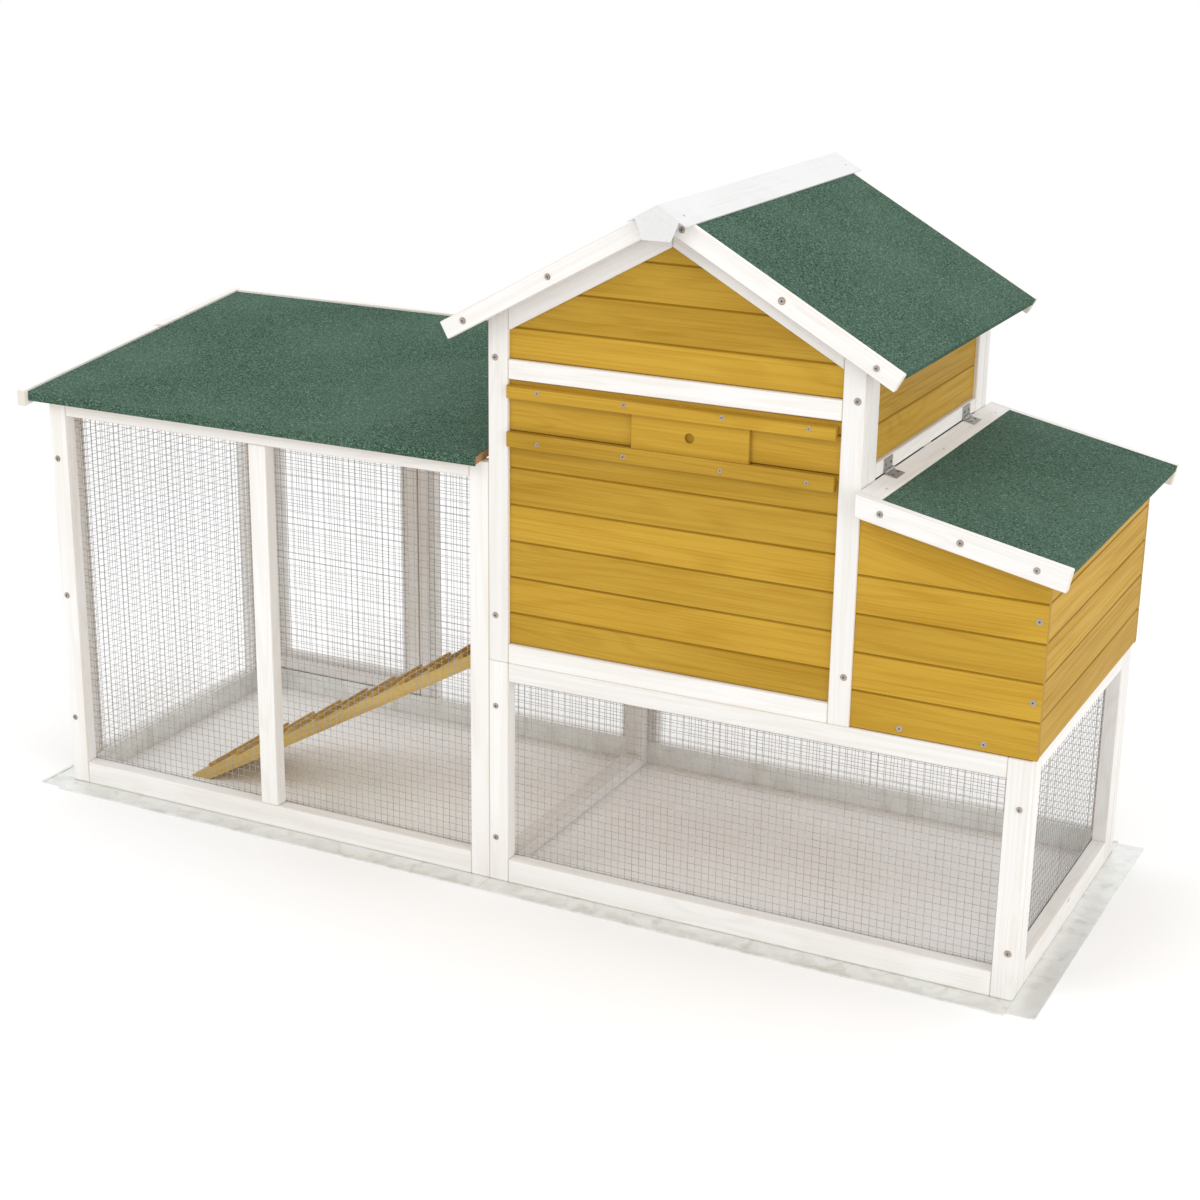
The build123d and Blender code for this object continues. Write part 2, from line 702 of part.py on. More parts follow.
def gable_planks(y):
    """Boards between the mid rail and the sloping rails."""
    half = HOUSE_LENGTH / 2 - STILE - JOINT
    crown = RIDGE_UNDER - GABLE_RAIL / HOUSE_COS - JOINT
    spring = crown - half * HOUSE_TAN
    for low, high in courses(MID_RAIL_Z + MID_RAIL, crown, GABLE_FIRST):
        heights = [low] + [spring] * (low < spring < high) + [high]
        reach = [(min(half, (crown - z) / HOUSE_TAN), z) for z in heights]
        right = [(X_RIDGE + x, z) for x, z in reach if x > 0]
        left = [(X_RIDGE - x, z) for x, z in reversed(reach) if x > 0]
        peak = [(X_RIDGE, high)] if reach[-1][0] <= 0 else []
        slab_xz(right + peak + left, y)


with BuildPart() as house_front_frame:
    gable_frame(FRONT, HOUSE_SILL)
    chamfer(house_front_frame.edges(), ARRIS)
    bores(HOUSE_SCREWS, Y_FRONT)
house_front_frame.part.label = "house_front_frame"
export_step(house_front_frame.part, "parts/house_front_frame.step")

with BuildPart() as house_back_frame:
    gable_frame(BACK, HOUSE_SILL)
    chamfer(house_back_frame.edges(), ARRIS)
    bores(HOUSE_SCREWS, Y_BACK)
    bores([HOUSE_BUTTON], Y_BACK, PIVOT_R, STOCK - REBATE)
house_back_frame.part.label = "house_back_frame"
export_step(house_back_frame.part, "parts/house_back_frame.step")

with BuildPart() as house_front_planks:
    gable_planks(PLANKS_Y)
    ends = inset(HOUSE_BAY)
    block = (SHUTTER_X - VENT_BLOCK / 2, SHUTTER_X + VENT_BLOCK / 2)
    for course in LOWER_COURSES:
        pieces = [ends]
        if course == VENT_COURSE:
            pieces = [(ends[0], block[0] - VENT_GAP), block, (block[1] + VENT_GAP, ends[1])]
        for piece in pieces:
            bar(piece, PLANKS_Y, course)
    chamfer(house_front_planks.edges().filter_by(Axis.X), GROOVE)
house_front_planks.part.label = "house_front_planks"
export_step(house_front_planks.part, "parts/house_front_planks.step")

with BuildPart() as house_back_planks:
    gable_planks(mirrored(PLANKS_Y))
    chamfer(house_back_planks.edges().filter_by(Axis.X), GROOVE)
house_back_planks.part.label = "house_back_planks"
export_step(house_back_planks.part, "parts/house_back_planks.step")

with BuildPart() as vent_battens:
    tuck = SHUTTER_THICK + 2 * REST
    low = LOWER_BATTEN_TOP
    slab_yz(
        [
            (BATTEN_FACE, low - LOWER_BATTEN),
            (PLANK_FACE, low - LOWER_BATTEN),
            (PLANK_FACE, low - REBATE - REST),
            (PLANK_FACE - tuck, low - REBATE - REST),
            (PLANK_FACE - tuck, low),
            (BATTEN_FACE, low),
        ],
        BATTEN_X,
    )
    high = UPPER_BATTEN_FOOT
    slab_yz(
        [
            (BATTEN_FACE, high),
            (PLANK_FACE - tuck, high),
            (PLANK_FACE - tuck, high + REBATE + REST),
            (PLANK_FACE, high + REBATE + REST),
            (PLANK_FACE, UPPER_BATTEN_TOP - ARRIS),
            (BATTEN_FACE + 2 * ARRIS, UPPER_BATTEN_TOP),
            (BATTEN_FACE, UPPER_BATTEN_TOP - 2 * ARRIS),
        ],
        BATTEN_X,
    )
    bores(BATTEN_SCREWS, BATTEN_FACE)
vent_battens.part.label = "vent_battens"
export_step(vent_battens.part, "parts/vent_battens.step")

with BuildPart() as vent_shutter:
    bar(
        (SHUTTER_X - SHUTTER_LENGTH / 2, SHUTTER_X + SHUTTER_LENGTH / 2),
        (PLANK_FACE - SHUTTER_THICK - REST, PLANK_FACE - REST),
        (LOWER_BATTEN_TOP - REBATE, UPPER_BATTEN_FOOT + REBATE),
    )
    chamfer(vent_shutter.edges().filter_by(Axis.Z), ARRIS)
    middle = (LOWER_BATTEN_TOP + UPPER_BATTEN_FOOT) / 2
    with Locations(Location((SHUTTER_X, PLANK_FACE, middle), (90, 0, 0))):
        Cylinder(FINGER_HOLE / 2, 4 * SHUTTER_THICK, mode=Mode.SUBTRACT)
vent_shutter.part.label = "vent_shutter"
export_step(vent_shutter.part, "parts/vent_shutter.step")

SIDE_Y = (FRONT[1], BACK[0])
LEFT_WALL = (X_JOIN, X_JOIN + STOCK)
RIGHT_WALL = (X_HOUSE - STOCK, X_HOUSE)
LEFT_PLANKS = (X_JOIN + PLANK_SET_BACK, X_JOIN + PLANK_SET_BACK + PLANK_THICK)
RIGHT_PLANKS = (X_HOUSE - PLANK_SET_BACK - PLANK_THICK, X_HOUSE - PLANK_SET_BACK)
WALL_RAIL_Z = EAVE_HEIGHT - JOINT - RAIL
POP = (Y_FRONT + STOCK + POP_FRONT, Y_FRONT + STOCK + POP_FRONT + POP_WIDTH)
LEFT_COURSES = courses(HOUSE_SILL, WALL_RAIL_Z)
POP_TOP = LEFT_COURSES[POP_PLANKS - 1][1]

with BuildPart() as house_left_frame:
    ladder(LEFT_WALL, SIDE_Y, (BASE_HEIGHT, EAVE_HEIGHT - JOINT), RAIL, RAIL, across="y")
    chamfer(house_left_frame.edges(), ARRIS)
house_left_frame.part.label = "house_left_frame"
export_step(house_left_frame.part, "parts/house_left_frame.step")

with BuildPart() as house_left_planks:
    ends = inset(SIDE_WINDOW)
    for number, course in enumerate(LEFT_COURSES):
        pieces = [(ends[0], POP[0]), (POP[1], ends[1])] if number < POP_PLANKS else [ends]
        for piece in pieces:
            bar(LEFT_PLANKS, piece, course)
    chamfer(house_left_planks.edges().filter_by(Axis.Y), GROOVE)
house_left_planks.part.label = "house_left_planks"
export_step(house_left_planks.part, "parts/house_left_planks.step")

HINGE_RAIL_Z = (NEST_HEIGHT, NEST_HEIGHT + HINGE_RAIL)
NEST_STILE = (-STILE / 2, STILE / 2)
SILL_TOP = HOUSE_SILL + SILL_PLANKS

with BuildPart() as house_right_frame:
    ladder(RIGHT_WALL, SIDE_Y, (BASE_HEIGHT, EAVE_HEIGHT - JOINT), RAIL, RAIL, across="y")
    bar(RIGHT_WALL, inset(SIDE_WINDOW), HINGE_RAIL_Z)
    bar(RIGHT_WALL, NEST_STILE, (HOUSE_SILL + JOINT, NEST_HEIGHT - JOINT))
    chamfer(house_right_frame.edges(), ARRIS)
house_right_frame.part.label = "house_right_frame"
export_step(house_right_frame.part, "parts/house_right_frame.step")

with BuildPart() as house_right_planks:
    for course in courses(HINGE_RAIL_Z[1], WALL_RAIL_Z, SIDE_FIRST):
        bar(RIGHT_PLANKS, inset(SIDE_WINDOW), course)
    for low, high in ((SIDE_WINDOW[0], NEST_STILE[0]), (NEST_STILE[1], SIDE_WINDOW[1])):
        for course in courses(HOUSE_SILL, SILL_TOP):
            bar(RIGHT_PLANKS, inset((low, high)), course)
    chamfer(house_right_planks.edges().filter_by(Axis.Y), GROOVE)
house_right_planks.part.label = "house_right_planks"
export_step(house_right_planks.part, "parts/house_right_planks.step")

with BuildPart() as house_door_frame:
    for low, high in (
        (HOUSE_DOOR[0], HOUSE_DOOR[0] + DOOR_STILE),
        (HOUSE_DOOR[1] - DOOR_STILE, HOUSE_DOOR[1]),
    ):
        bar((low, high), BACK, HOUSE_DOOR_Z)
    for low, high in (
        (HOUSE_DOOR_Z[0], HOUSE_DOOR_Z[0] + DOOR_STILE),
        (HOUSE_DOOR_Z[1] - DOOR_STILE, HOUSE_DOOR_Z[1]),
    ):
        bar(inset(HOUSE_DOOR, DOOR_STILE + JOINT), BACK, (low, high))
    chamfer(house_door_frame.edges(), ARRIS)
house_door_frame.part.label = "house_door_frame"
export_step(house_door_frame.part, "parts/house_door_frame.step")

with BuildPart() as house_door_planks:
    for course in courses(HOUSE_DOOR_Z[0] + DOOR_STILE, HOUSE_DOOR_Z[1] - DOOR_STILE):
        bar(inset(HOUSE_DOOR, DOOR_STILE + JOINT), mirrored(PLANKS_Y), course)
    chamfer(house_door_planks.edges().filter_by(Axis.X), GROOVE)
house_door_planks.part.label = "house_door_planks"
export_step(house_door_planks.part, "parts/house_door_planks.step")

# ---- Inside the house ----

FLOOR_Z = (BASE_HEIGHT + FLOOR_BATTEN, BASE_HEIGHT + FLOOR_BATTEN + FLOOR_BOARD)
INSIDE_X = (LEFT_WALL[1], RIGHT_WALL[0])

with BuildPart() as house_floor_battens:
    for y in ((FRONT[1], FRONT[1] + FLOOR_BATTEN_DEEP), (BACK[0] - FLOOR_BATTEN_DEEP, BACK[0])):
        bar(INSIDE_X, y, (BASE_HEIGHT, FLOOR_Z[0]))
    chamfer(house_floor_battens.edges().filter_by(Axis.X), ARRIS)
house_floor_battens.part.label = "house_floor_battens"
export_step(house_floor_battens.part, "parts/house_floor_battens.step")

with BuildPart() as house_floor:
    bar(INSIDE_X, SIDE_Y, FLOOR_Z)
house_floor.part.label = "house_floor"
export_step(house_floor.part, "parts/house_floor.step")

with BuildPart() as perch:
    bar((LEFT_PLANKS[1], RIGHT_WALL[0]), (-PERCH / 2, PERCH / 2), (PERCH_Z, PERCH_Z + PERCH))
    fillet(perch.edges().filter_by(Axis.X), PERCH / 4)
perch.part.label = "perch"
export_step(perch.part, "parts/perch.step")

POP_FACE = LEFT_PLANKS[1]
LIP_X = (POP_FACE + POP_DOOR_THICK + 2 * REST, POP_FACE + POP_DOOR_THICK + 2 * REST + GUIDE_LIP)
POP_DOOR_Z = (HOUSE_SILL + JOINT + REBATE, POP_TOP + GUIDE_LAP)
POP_DOOR_Y = (POP[1] + POP_DOOR_LAP, POP[1] + POP_WIDTH + 3 * POP_DOOR_LAP)

with BuildPart() as pop_door_guides:
    for edge, out in ((POP_DOOR_Z[0], -1), (POP_DOOR_Z[1], 1)):
        slab_xz(
            [
                (POP_FACE, edge + out * REST),
                (LIP_X[0], edge + out * REST),
                (LIP_X[0], edge - out * GUIDE_LAP),
                (LIP_X[1], edge - out * GUIDE_LAP),
                (LIP_X[1], edge + out * REBATE),
                (POP_FACE, edge + out * REBATE),
            ],
            SIDE_WINDOW,
        )
pop_door_guides.part.label = "pop_door_guides"
export_step(pop_door_guides.part, "parts/pop_door_guides.step")

with BuildPart() as pop_door:
    bar((POP_FACE + REST, POP_FACE + REST + POP_DOOR_THICK), POP_DOOR_Y, POP_DOOR_Z)
    pull = (POP_FACE, POP_DOOR_Y[0] + 3 * FINGER_HOLE, POP_DOOR_Z[1] - 3 * FINGER_HOLE)
    with Locations(Location(pull, (0, 90, 0))):
        Cylinder(FINGER_HOLE / 2, 4 * POP_DOOR_THICK, mode=Mode.SUBTRACT)
pop_door.part.label = "pop_door"
export_step(pop_door.part, "parts/pop_door.step")

# ---- House roof ----

ROOF_Y = (Y_FRONT - HOUSE_ROOF_OUT, Y_BACK + HOUSE_ROOF_OUT)
EAVE = HOUSE_ROOF_HALF / HOUSE_COS

with BuildPart() as house_roof_boards:
    for side in (-1, 1):
        slab_xz(roof_outline(side, FELT, FELT + ROOF_BOARD, EAVE - FELT), ROOF_Y)
house_roof_boards.part.label = "house_roof_boards"
export_step(house_roof_boards.part, "parts/house_roof_boards.step")

with BuildPart() as house_roof_felt:
    half = [
        roof_point(1, EAVE, 0),
        roof_point(1, EAVE, FELT + ROOF_BOARD),
        roof_point(1, EAVE - FELT, FELT + ROOF_BOARD),
        roof_point(1, EAVE - FELT, FELT),
    ]
    other = [(2 * X_RIDGE - x, z) for x, z in reversed(half)]
    crown = (X_RIDGE, RIDGE_TOP)
    valley = (X_RIDGE, RIDGE_TOP - FELT / HOUSE_COS)
    slab_xz([crown] + half + [valley] + other, ROOF_Y)
house_roof_felt.part.label = "house_roof_felt"
export_step(house_roof_felt.part, "parts/house_roof_felt.step")

BARGE_Y = (ROOF_Y[1], ROOF_Y[1] + BARGE_THICK)

with BuildPart() as house_bargeboards:
    for side in (-1, 1):
        for y in (BARGE_Y, mirrored(BARGE_Y)):
            slab_xz(roof_outline(side, 0, BARGE, EAVE), y)
    chamfer(house_bargeboards.edges(), ARRIS)
    bores(BARGE_SCREWS, -BARGE_Y[1])
    bores(BARGE_SCREWS, BARGE_Y[1])
house_bargeboards.part.label = "house_bargeboards"
export_step(house_bargeboards.part, "parts/house_bargeboards.step")

CAP_Y = (Y_FRONT - CAP_OUT, Y_BACK + CAP_OUT)

with BuildPart() as ridge_cap:
    wing = CAP_HALF / HOUSE_COS
    right = [roof_point(1, wing, 0), roof_point(1, wing, -CAP_SHEET)]
    left = [(2 * X_RIDGE - x, z) for x, z in reversed(right)]
    crown = (X_RIDGE, RIDGE_TOP + CAP_SHEET / HOUSE_COS)
    slab_xz([right[0], right[1], crown, left[0], left[1], (X_RIDGE, RIDGE_TOP)], CAP_Y)
    plate_top = RIDGE_TOP + CAP_SHEET / HOUSE_COS
    shoulder = plate_top - HOUSE_TAN * CAP_PLATE_TOP
    plate = [
        (X_RIDGE, plate_top),
        (X_RIDGE + CAP_PLATE_TOP, shoulder),
        (X_RIDGE + CAP_PLATE_FOOT, RIDGE_TOP - CAP_PLATE_DROP),
        (X_RIDGE - CAP_PLATE_FOOT, RIDGE_TOP - CAP_PLATE_DROP),
        (X_RIDGE - CAP_PLATE_TOP, shoulder),
    ]
    for y in ((CAP_Y[0], CAP_Y[0] + CAP_SHEET), (CAP_Y[1] - CAP_SHEET, CAP_Y[1])):
        slab_xz(plate, y)
ridge_cap.part.label = "ridge_cap"
export_step(ridge_cap.part, "parts/ridge_cap.step")

# ---- Nest box ----

NEST_WALL_Y = (NEST_FACE, NEST_FACE + PLANK_THICK)
NEST_INSIDE_Y = (NEST_WALL_Y[1], -NEST_WALL_Y[1])
NEST_INSIDE_X = (X_HOUSE, X_NEST - PLANK_THICK)
NEST_COURSES = courses(BASE_HEIGHT, lid_under(X_NEST))


def nest_side(y):
    """Courses of a nest side wall, the top one cut to the slope of the lid."""
    for low, high in NEST_COURSES[:-1]:
        bar((X_HOUSE + JOINT, X_NEST), y, (low, high))
    low = NEST_COURSES[-1][0]
    ends = (X_HOUSE + JOINT, X_NEST)
    slab_xz(
        [(ends[0], low), (ends[1], low), (ends[1], lid_under(ends[1])), (ends[0], lid_under(ends[0]))],
        y,
    )


with BuildPart() as nest_front_wall:
    nest_side(NEST_WALL_Y)
    chamfer(nest_front_wall.edges().filter_by(Axis.X), GROOVE)
    bores(NEST_SCREWS, NEST_FACE)
nest_front_wall.part.label = "nest_front_wall"
export_step(nest_front_wall.part, "parts/nest_front_wall.step")

with BuildPart() as nest_back_wall:
    nest_side(mirrored(NEST_WALL_Y))
    chamfer(nest_back_wall.edges().filter_by(Axis.X), GROOVE)
    bores(NEST_SCREWS, -NEST_FACE)
nest_back_wall.part.label = "nest_back_wall"
export_step(nest_back_wall.part, "parts/nest_back_wall.step")

with BuildPart() as nest_end_wall:
    for course in NEST_COURSES:
        bar((NEST_INSIDE_X[1], X_NEST), inset(NEST_INSIDE_Y), course)
    chamfer(nest_end_wall.edges().filter_by(Axis.Y), GROOVE)
nest_end_wall.part.label = "nest_end_wall"
export_step(nest_end_wall.part, "parts/nest_end_wall.step")

NEST_FLOOR_Z = (BASE_HEIGHT, BASE_HEIGHT + NEST_FLOOR)

with BuildPart() as nest_floor:
    bar(inset(NEST_INSIDE_X), inset(NEST_INSIDE_Y), NEST_FLOOR_Z)
nest_floor.part.label = "nest_floor"
export_step(nest_floor.part, "parts/nest_floor.step")

with BuildPart() as nest_corner_posts:
    inner = inset(NEST_INSIDE_Y)
    for low, high in ((inner[0], inner[0] + NEST_POST), (inner[1] - NEST_POST, inner[1])):
        for x in (NEST_INSIDE_X[0] + JOINT, NEST_INSIDE_X[1] - JOINT - NEST_POST):
            bar((x, x + NEST_POST), (low, high), (NEST_FLOOR_Z[1], lid_under(x + NEST_POST)))
    chamfer(nest_corner_posts.edges().filter_by(Axis.Z), ARRIS)
nest_corner_posts.part.label = "nest_corner_posts"
export_step(nest_corner_posts.part, "parts/nest_corner_posts.step")

with BuildPart() as nest_partition:
    low, high = inset(NEST_INSIDE_X)
    slab_xz(
        [
            (low, NEST_FLOOR_Z[1]),
            (high, NEST_FLOOR_Z[1]),
            (high, lid_under(high) - DOOR_GAP),
            (low, lid_under(low) - DOOR_GAP),
        ],
        (-PLANK_THICK / 2, PLANK_THICK / 2),
    )
nest_partition.part.label = "nest_partition"
export_step(nest_partition.part, "parts/nest_partition.step")

# ---- Nest lid ----

LID_Y = (Y_FRONT - LID_OUT, Y_BACK + LID_OUT)
LID_EDGE = LID_REACH / LID_COS
LID_THICK = FELT + ROOF_BOARD


def lid_slab(start, end, low, high, y):
    """Adds a layer of the lid between two distances down its slope and two depths."""
    slab_xz(
        [lid_point(start, low), lid_point(end, low), lid_point(end, high), lid_point(start, high)],
        y,
    )


def plumb_slab(end, high, y):
    """Adds a board from the lid's top face down, its hinge end cut upright by the wall."""
    near = 2 * REST / LID_COS
    slab_xz(
        [
            lid_point(near, 0),
            lid_point(end, 0),
            lid_point(end, high),
            lid_point(near + high * LID_TAN, high),
        ],
        y,
    )


with BuildPart() as lid_hinge_rail:
    plumb_slab(LID_RAIL, LID_THICK, LID_Y)
    chamfer(lid_hinge_rail.edges().filter_by(Axis.Y).sort_by(Axis.Z)[-2:], ARRIS)
lid_hinge_rail.part.label = "lid_hinge_rail"
export_step(lid_hinge_rail.part, "parts/lid_hinge_rail.step")

with BuildPart() as lid_board:
    lid_slab(LID_RAIL + JOINT, LID_EDGE - FELT, FELT, LID_THICK, LID_Y)
lid_board.part.label = "lid_board"
export_step(lid_board.part, "parts/lid_board.step")

with BuildPart() as lid_felt:
    slab_xz(
        [
            lid_point(LID_RAIL + JOINT, 0),
            lid_point(LID_EDGE, 0),
            lid_point(LID_EDGE, LID_THICK),
            lid_point(LID_EDGE - FELT, LID_THICK),
            lid_point(LID_EDGE - FELT, FELT),
            lid_point(LID_RAIL + JOINT, FELT),
        ],
        LID_Y,
    )
lid_felt.part.label = "lid_felt"
export_step(lid_felt.part, "parts/lid_felt.step")

LID_BARGE_Y = (LID_Y[1], LID_Y[1] + LID_BARGE_THICK)

with BuildPart() as lid_bargeboards:
    for y in (LID_BARGE_Y, mirrored(LID_BARGE_Y)):
        plumb_slab(LID_EDGE, LID_BARGE, y)
    chamfer(lid_bargeboards.edges(), ARRIS)
    bores(LID_SCREWS, -LID_BARGE_Y[1])
    bores(LID_SCREWS, LID_BARGE_Y[1])
lid_bargeboards.part.label = "lid_bargeboards"
export_step(lid_bargeboards.part, "parts/lid_bargeboards.step")

# ---- Ramp ----

RAMP_RUN = RAMP_TOP_Z / tan(radians(RAMP_SLOPE))
RAMP_START = X_JOIN - RAMP_RUN
RAMP_END = X_JOIN - REST - 2 * ARRIS


def ramp_z(x):
    """Height of the ramp's top face."""
    return (x - RAMP_START) * RAMP_SIN / RAMP_COS


with BuildPart() as ramp_board:
    deep = RAMP_THICK / RAMP_COS
    slab_xz(
        [
            (RAMP_START, 0),
            (RAMP_START + RAMP_THICK / RAMP_SIN, 0),
            (RAMP_END, ramp_z(RAMP_END) - deep),
            (RAMP_END, ramp_z(RAMP_END)),
        ],
        RAMP,
    )
    chamfer(ramp_board.edges().group_by(Axis.Z)[-1], ARRIS)
ramp_board.part.label = "ramp_board"
export_step(ramp_board.part, "parts/ramp_board.step")

with BuildPart() as ramp_cleats:
    face = Plane((RAMP_START, RAMP_MID, 0), x_dir=(RAMP_COS, 0, RAMP_SIN), z_dir=(-RAMP_SIN, 0, RAMP_COS))
    length = (RAMP_END - RAMP_START) / RAMP_COS
    count = int((length - 2 * CLEAT_PITCH) / CLEAT_PITCH) + 1
    with BuildSketch(face):
        with Locations(*[(CLEAT_PITCH * (number + 0.75), 0) for number in range(count)]):
            Rectangle(CLEAT_WIDE, RAMP_WIDE - 2 * REBATE)
    extrude(amount=CLEAT_HIGH)
ramp_cleats.part.label = "ramp_cleats"
export_step(ramp_cleats.part, "parts/ramp_cleats.step")

# ---- Hinges ----

with BuildPart() as hinge_frame_leaves:
    for axis in LID_AXES + RAMP_AXES:
        hinge_plate(axis, 90, -1, OUTER_KNUCKLES)
    for axis in RUN_DOOR_AXES + HOUSE_DOOR_AXES:
        hinge_plate(axis, 180, -1, OUTER_KNUCKLES)
hinge_frame_leaves.part.label = "hinge_frame_leaves"
export_step(hinge_frame_leaves.part, "parts/hinge_frame_leaves.step")

with BuildPart() as lid_hinge_leaves:
    for axis in LID_AXES:
        hinge_plate(axis, -LID_PITCH, 1, INNER_KNUCKLE)
lid_hinge_leaves.part.label = "lid_hinge_leaves"
export_step(lid_hinge_leaves.part, "parts/lid_hinge_leaves.step")

with BuildPart() as ramp_hinge_leaves:
    for axis in RAMP_AXES:
        hinge_plate(axis, -RAMP_SLOPE, 1, INNER_KNUCKLE)
ramp_hinge_leaves.part.label = "ramp_hinge_leaves"
export_step(ramp_hinge_leaves.part, "parts/ramp_hinge_leaves.step")

with BuildPart() as run_door_hinge_leaves:
    for axis in RUN_DOOR_AXES:
        hinge_plate(axis, 0, 1, INNER_KNUCKLE)
run_door_hinge_leaves.part.label = "run_door_hinge_leaves"
export_step(run_door_hinge_leaves.part, "parts/run_door_hinge_leaves.step")

with BuildPart() as house_door_hinge_leaves:
    for axis in HOUSE_DOOR_AXES:
        hinge_plate(axis, 0, 1, INNER_KNUCKLE)
house_door_hinge_leaves.part.label = "house_door_hinge_leaves"
export_step(house_door_hinge_leaves.part, "parts/house_door_hinge_leaves.step")

with BuildPart() as hinge_pins:
    for axis in LID_AXES + RAMP_AXES + RUN_DOOR_AXES + HOUSE_DOOR_AXES:
        with BuildSketch(axis.offset(-HINGE_LONG / 2 - REST)):
            Circle(HINGE_PIN_R)
        extrude(amount=HINGE_LONG + 2 * REST)
hinge_pins.part.label = "hinge_pins"
export_step(hinge_pins.part, "parts/hinge_pins.step")

# ---- Turn buttons and screws ----

BUTTON_Y = (Y_BACK + REST, Y_BACK + REST + BUTTON_THICK)


def turn_button(pivot):
    """Adds a wooden turn button standing upright on its pivot."""
    with BuildSketch(Plane.XZ.offset(-BUTTON_Y[1])) as outline:
        with Locations(pivot):
            SlotOverall(BUTTON_LONG, BUTTON_WIDE, rotation=90)
            Circle(PIVOT_R + PIN_FIT, mode=Mode.SUBTRACT)
    extrude(outline.sketch, amount=BUTTON_THICK)


with BuildPart() as run_door_button:
    turn_button(RUN_BUTTON)
run_door_button.part.label = "run_door_button"
export_step(run_door_button.part, "parts/run_door_button.step")

with BuildPart() as house_door_button:
    turn_button(HOUSE_BUTTON)
house_door_button.part.label = "house_door_button"
export_step(house_door_button.part, "parts/house_door_button.step")

with BuildPart() as frame_screws:
    for y_face in (Y_FRONT, Y_BACK):
        screws(RUN_SCREWS + BASE_SCREWS + HOUSE_SCREWS, y_face)
    for y_face in mirrored(BARGE_Y)[:1] + BARGE_Y[1:]:
        screws(BARGE_SCREWS, y_face)
    for y_face in (NEST_FACE, -NEST_FACE):
        screws(NEST_SCREWS, y_face)
    screws(BATTEN_SCREWS, BATTEN_FACE, SMALL_HEAD_R)
    for x, z in (RUN_BUTTON, HOUSE_BUTTON):
        low = Y_BACK - STOCK + REBATE
        high = BUTTON_Y[1] + REST
        with Locations(Location((x, (low + high) / 2, z), (90, 0, 0))):
            Cylinder(PIVOT_R, high - low)
        with Locations(Location((x, high + HEAD / 2, z), (90, 0, 0))):
            Cylinder(2 * PIVOT_R, HEAD)
frame_screws.part.label = "frame_screws"
export_step(frame_screws.part, "parts/frame_screws.step")

with BuildPart() as lid_screws:
    for y_face in mirrored(LID_BARGE_Y)[:1] + LID_BARGE_Y[1:]:
        screws(LID_SCREWS, y_face)
lid_screws.part.label = "lid_screws"
export_step(lid_screws.part, "parts/lid_screws.step")
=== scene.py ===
"""Looks of a raised chicken coop: stained boards, white timber, welded mesh, felt and steel."""

import json
import logging
import math
import random
from collections.abc import Iterable, Sequence
from dataclasses import dataclass, field, replace
from enum import Enum
from typing import Any

import bmesh
import bpy
from mathutils import Matrix, Vector


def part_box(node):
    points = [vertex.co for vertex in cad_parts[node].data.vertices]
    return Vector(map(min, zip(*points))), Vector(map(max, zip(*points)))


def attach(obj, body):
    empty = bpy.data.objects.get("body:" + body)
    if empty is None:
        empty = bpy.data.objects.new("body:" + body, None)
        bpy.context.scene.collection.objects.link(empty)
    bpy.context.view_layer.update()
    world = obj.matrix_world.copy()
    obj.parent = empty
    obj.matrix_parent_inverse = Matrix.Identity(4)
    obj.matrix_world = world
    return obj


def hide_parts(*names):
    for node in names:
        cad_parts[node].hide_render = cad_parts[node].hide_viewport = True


logging.basicConfig(level=logging.INFO, format="%(message)s")
LOG = logging.getLogger("coop")

Colour = tuple[float, float, float]
Scale = tuple[float, float, float]
MM = 0.001
HOUSE_PITCH = 29.0
LID_PITCH = 11.67
FLAT = 0.99

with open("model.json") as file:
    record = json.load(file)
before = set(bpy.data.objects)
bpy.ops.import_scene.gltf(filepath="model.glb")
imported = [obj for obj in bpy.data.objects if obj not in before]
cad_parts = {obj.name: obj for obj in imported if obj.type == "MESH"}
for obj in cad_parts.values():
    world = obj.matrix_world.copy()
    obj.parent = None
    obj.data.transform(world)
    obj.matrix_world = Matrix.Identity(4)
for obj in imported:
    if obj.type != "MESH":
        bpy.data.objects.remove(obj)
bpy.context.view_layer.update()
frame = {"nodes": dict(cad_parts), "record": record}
BODY_OF = {
    node: body
    for body, nodes in frame["record"]["behaviour"]["bodies"].items()
    for node in nodes
}


class Slot(Enum):
    """Material slots of the record."""

    WHITE_WOOD = "whitewashed_wood"
    PLANKS = "golden_planks"
    PLAIN = "plain_wood"
    PLYWOOD = "plywood"
    FELT = "roofing_felt"
    CAP = "white_sheet"
    STRIP = "galvanised_strip"
    WIRE = "wire_mesh"
    STEEL = "steel_fittings"


